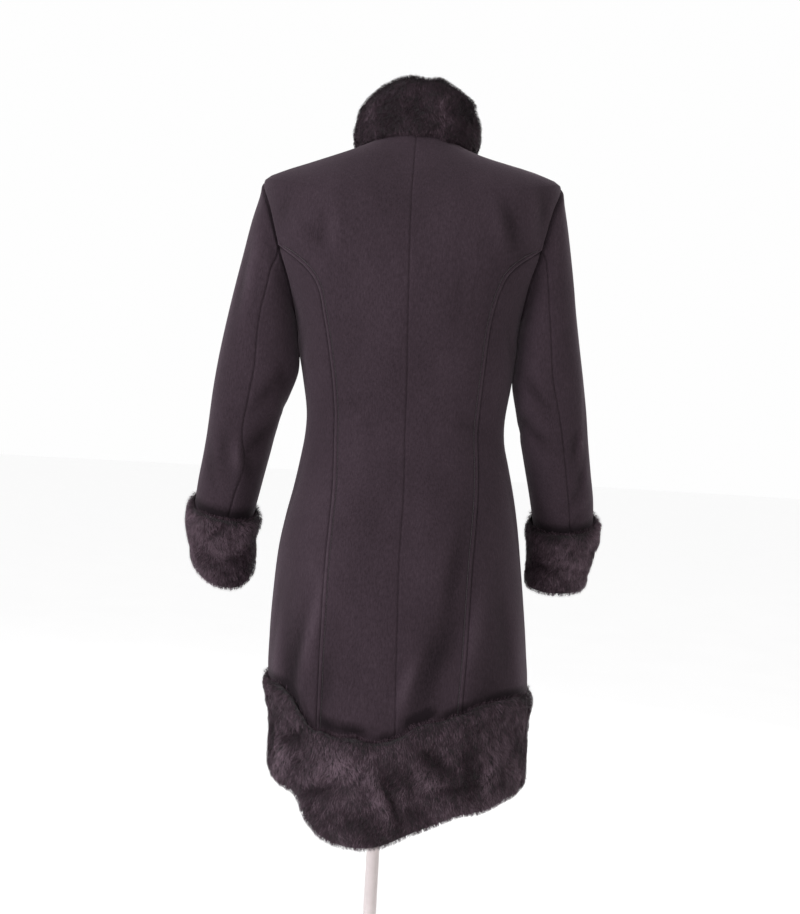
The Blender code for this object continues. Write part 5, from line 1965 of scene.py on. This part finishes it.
@dataclass
class Buttons:
    """Buttons on the hidden front, with their thread and buttonholes."""
    coat: CoatSurface
    finishes: Finishes

    def build(self) -> None:
        """Build every button with its thread, then all buttonholes."""
        shape, faces = self.disc()
        spots, turns = [], []
        for number in range(BUTTON_COUNT):
            node = f"button_{number + 1}"
            level = BUTTON_TOP - number * BUTTON_PITCH
            corners = np.array([vertex.co[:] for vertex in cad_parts[node].data.vertices])
            axis = self.coat.normal(np.array(180.0), np.array(level))
            middle = corners.mean(axis=0)
            base = middle + axis * ((corners - middle) @ axis).min()
            across = unit(np.cross(UPWARDS, axis))
            turn = np.stack([across, np.cross(axis, across), axis])
            disc = place_object(node + "_horn", triangle_mesh(node, base + shape @ turn, faces),
                                self.finishes.horn, sharp=35)
            mount(disc, node)
            self.thread(node, base, turn)
            hole_spots, hole_turns = self.hole(float(base[0]), float(base[2]))
            spots.append(hole_spots)
            turns.append(hole_turns)
        mesh = joined_copies("buttonholes", *thread_shape(), np.concatenate(spots),
                             np.concatenate(turns))
        mount(place_object("buttonholes", mesh, self.finishes.thread, sharp=60))

    def disc(self) -> tuple[np.ndarray, np.ndarray]:
        """A turned disc with a rim and four holes.

        Returns:
            Its vertices and triangles, resting at z = 0 on its thread.
        """
        bm = bmesh.new()
        loops = [self.circle(bm, spot, RIM_SIDES) for spot in BUTTON_RIM]
        self.skin(bm, loops)
        fronts, backs = [loops[0]], [loops[-1]]
        for x, y in BUTTON_HOLES:
            walls = [self.circle(bm, spot, BORE_SIDES, x, y) for spot in BUTTON_BORE]
            self.skin(bm, walls)
            fronts.append(walls[0])
            backs.append(walls[-1])
        for group in (fronts, backs):
            edges = [bm.edges.get((loop[i - 1], loop[i])) for loop in group
                     for i in range(len(loop))]
            bmesh.ops.triangle_fill(bm, edges=edges, use_beauty=True)
        bmesh.ops.recalc_face_normals(bm, faces=bm.faces[:])
        return triangle_arrays(bm)

    @staticmethod
    def circle(bm: bmesh.types.BMesh, spot: Turned, count: int, x: float = 0.0,
               y: float = 0.0) -> list[bmesh.types.BMVert]:
        """A loop of count vertices in order, with its radius and height, round x and y."""
        made = bmesh.ops.create_circle(bm, cap_ends=False, radius=spot.radius, segments=count,
                                       matrix=Matrix.Translation((x, y, spot.height)))["verts"]
        return sorted(made, key=lambda vertex: math.atan2(vertex.co.y - y, vertex.co.x - x))

    @staticmethod
    def skin(bm: bmesh.types.BMesh, loops: list) -> None:
        """Faces between loops that follow each other."""
        for low, high in zip(loops, loops[1:]):
            for i in range(len(low)):
                bm.faces.new((low[i - 1], low[i], high[i], high[i - 1]))

    def thread(self, node: str, base: np.ndarray, turn: np.ndarray) -> None:
        """The crossed threads over a button and the wound shank below it.

        Args:
            node: the button's CAD node.
            base: where the button's thread stands on the cloth.
            turn: rows are the button's own axes.
        """
        spots, axes = [], []
        for x, y in BUTTON_HOLES[:2]:
            way = unit(np.array([x, y, 0.0]))
            side = np.array([-way[1], way[0], 0.0])
            for offset in (-CROSS_APART, CROSS_APART):
                spots.append(side * offset + UPWARDS * (BUTTON_FACE + CROSS_RISE))
                axes.append([side * CROSS_HALF, UPWARDS * CROSS_HALF,
                             way * (2 * math.hypot(x, y) + CROSS_EXTRA)])
        wide, high, long = SHANK_THREAD
        for step in range(SHANK_STITCHES):
            angle = step * 2 * math.pi / SHANK_ROUND
            out = np.array([math.cos(angle), math.sin(angle), 0.0])
            height = SHANK_START + SHANK_PITCH * step / SHANK_ROUND
            spots.append(out * SHANK_RADIUS + UPWARDS * height)
            axes.append([out * wide, UPWARDS * high, np.cross(UPWARDS, out) * long])
        spots, axes = np.array(spots), np.array(axes)
        mesh = joined_copies(node, *thread_shape(), base + spots @ turn, axes @ turn)
        mount(place_object(node + "_thread", mesh, self.finishes.thread, sharp=60))

    def hole(self, x: float, z: float) -> tuple[np.ndarray, np.ndarray]:
        """Stitches round one buttonhole of the upper front.

        Args:
            x: the button's place across the coat.
            z: its height.
        Returns:
            Places and axes of the stitches.
        """
        reach = HOLE_HALF - HOLE_WIDTH
        along = np.arange(-reach, reach + 1e-6, HOLE_PITCH)
        fan = np.radians(np.arange(-HOLE_FAN, HOLE_FAN + 1, HOLE_FAN_STEP))
        u = np.concatenate([along, along, reach + HOLE_WIDTH * np.cos(fan),
                            -reach - HOLE_WIDTH * np.cos(fan)])
        v = np.concatenate([np.full_like(along, HOLE_WIDTH), np.full_like(along, -HOLE_WIDTH),
                            HOLE_WIDTH * np.sin(fan), HOLE_WIDTH * np.sin(fan)])
        core = np.clip(u, -reach, reach)
        place = self.front(x - HOLE_SHIFT + u, z + v)
        inner = self.front(x - HOLE_SHIFT + core, z + 0 * v)
        way = unit(place - inner)
        normal = self.coat.normal(np.full_like(u, 180.0), np.full_like(u, z))
        across = unit(np.cross(way, normal))
        turns = np.stack([across * HOLE_THREAD, np.cross(across, way) * HOLE_THREAD,
                          way * HOLE_WIDTH * HOLE_REACH], axis=1)
        return place + normal * HOLE_RISE, turns

    def front(self, x: np.ndarray, z: np.ndarray) -> np.ndarray:
        """Points of the front's surface.

        Args:
            x: places across the coat.
            z: their heights.
        Returns:
            The points.
        """
        angles = np.linspace(180 - FRONT_REACH, 180 + FRONT_REACH, FRONT_SAMPLES)
        named, heights = self.front_levels()
        levels, points = np.interp(z, heights, named), []
        for place, level in zip(x, levels):
            line = self.coat.point(angles, np.full_like(angles, level))
            order = np.argsort(line[:, 0])
            points.append([np.interp(place, line[order, 0], line[order, k]) for k in range(3)])
        return np.array(points)

    def front_levels(self) -> tuple[np.ndarray, np.ndarray]:
        """Named levels and their heights down the middle of the front."""
        levels = np.linspace(HEM_LEVEL, FRONT_TOP, FRONT_LEVELS)
        return levels, self.coat.point(np.full_like(levels, 180.0), levels)[:, 2]


Lamp = namedtuple("Lamp", "name kind place size power tint")
LAMPS = (
    Lamp("key", "AREA", (2.4, 1.7, 2.0), 1.1, 62, (0.98, 0.96, 1.0)),
    Lamp("fill", "AREA", (-2.3, 1.9, 1.4), 1.4, 13, (1.0, 0.93, 0.86)),
    Lamp("front", "AREA", (-1.2, -2.4, 1.9), 1.6, 26, (1.0, 1.0, 1.0)),
    Lamp("sun", "SUN", (0.45, 0.55, 1.0), math.radians(70), 0.8, (1.0, 1.0, 1.0)),
)


@dataclass
class Studio:
    """Camera, lights, sky and floor."""
    finishes: Finishes
    lens: float = 46.9
    roll: float = 3.2
    sky_light: float = 0.42
    sky_white: float = 0.99
    place: tuple[float, float, float] = (-0.007, 1.67, 0.964)
    aim: tuple[float, float, float] = (0.0, 0.0, 0.95)
    floor_radius: float = 60.0
    floor_sides: int = 96
    floor_level: float = -0.0005

    def camera(self) -> None:
        """The photograph's camera: behind the coat, level, turned by a few degrees."""
        data = bpy.data.cameras.new("view")
        data.lens, data.sensor_width = self.lens, 36.0
        made = add_object("view", data)
        turn = (Matrix.Rotation(math.pi, 4, "Z") @ Matrix.Rotation(math.pi / 2, 4, "X")
                @ Matrix.Rotation(math.radians(self.roll), 4, "Z"))
        made.matrix_world = Matrix.Translation(self.place) @ turn
        bpy.context.scene.camera = made

    def light(self, lamp: Lamp) -> None:
        """A soft square light that looks at the coat, or a wide sun from far above.

        Args:
            lamp: what it is; a sun's place is only its direction.
        """
        data = bpy.data.lights.new(lamp.name, lamp.kind)
        data.energy, data.color = lamp.power, lamp.tint
        sun = lamp.kind == "SUN"
        setattr(data, "angle" if sun else "size", lamp.size)
        place = Vector(lamp.place)
        turn = ((Vector() if sun else Vector(self.aim)) - place).to_track_quat("-Z", "Y")
        made = add_object(lamp.name, data)
        made.matrix_world = (Matrix() if sun else Matrix.Translation(place)) @ (
            turn.to_matrix().to_4x4())

    def sky(self) -> None:
        """A white backdrop that lights the coat less than it shines itself."""
        world = bpy.data.worlds.new("sky")
        world.use_nodes = True
        tree = world.node_tree
        backdrop = tree.nodes["Background"]
        backdrop.inputs["Color"].default_value = (1, 1, 1, 1)
        path = tree.nodes.new("ShaderNodeLightPath")
        strength = tree.nodes.new("ShaderNodeMapRange")
        strength.inputs["To Min"].default_value = self.sky_light
        strength.inputs["To Max"].default_value = self.sky_white
        tree.links.new(path.outputs["Is Camera Ray"], strength.inputs["Value"])
        tree.links.new(strength.outputs["Result"], backdrop.inputs["Strength"])
        bpy.context.scene.world = world

    def build(self) -> None:
        """Build the studio."""
        self.sky()
        bpy.context.scene.view_settings.view_transform = "Standard"
        for lamp in LAMPS:
            self.light(lamp)
        bm = bmesh.new()
        bmesh.ops.create_circle(bm, cap_ends=True, radius=self.floor_radius,
                                segments=self.floor_sides)
        mesh = bpy.data.meshes.new("floor")
        bm.to_mesh(mesh)
        bm.free()
        floor = place_object("floor", mesh, self.finishes.floor)
        floor.location.z = self.floor_level


def main() -> None:
    """Build the scene in order."""
    logging.basicConfig(level=logging.INFO, format="%(name)s: %(message)s")
    finishes = Finishes()
    studio = Studio(finishes)
    studio.camera()
    coat = CoatSurface()
    LOG.info("wool")
    WoolShell(coat, finishes).build()
    LOG.info("fur")
    FurTrim(coat, finishes).build()
    LOG.info("form, buttons and studio")
    Stand(finishes).build()
    Buttons(coat, finishes).build()
    studio.build()


if __name__ == "__main__":
    main()
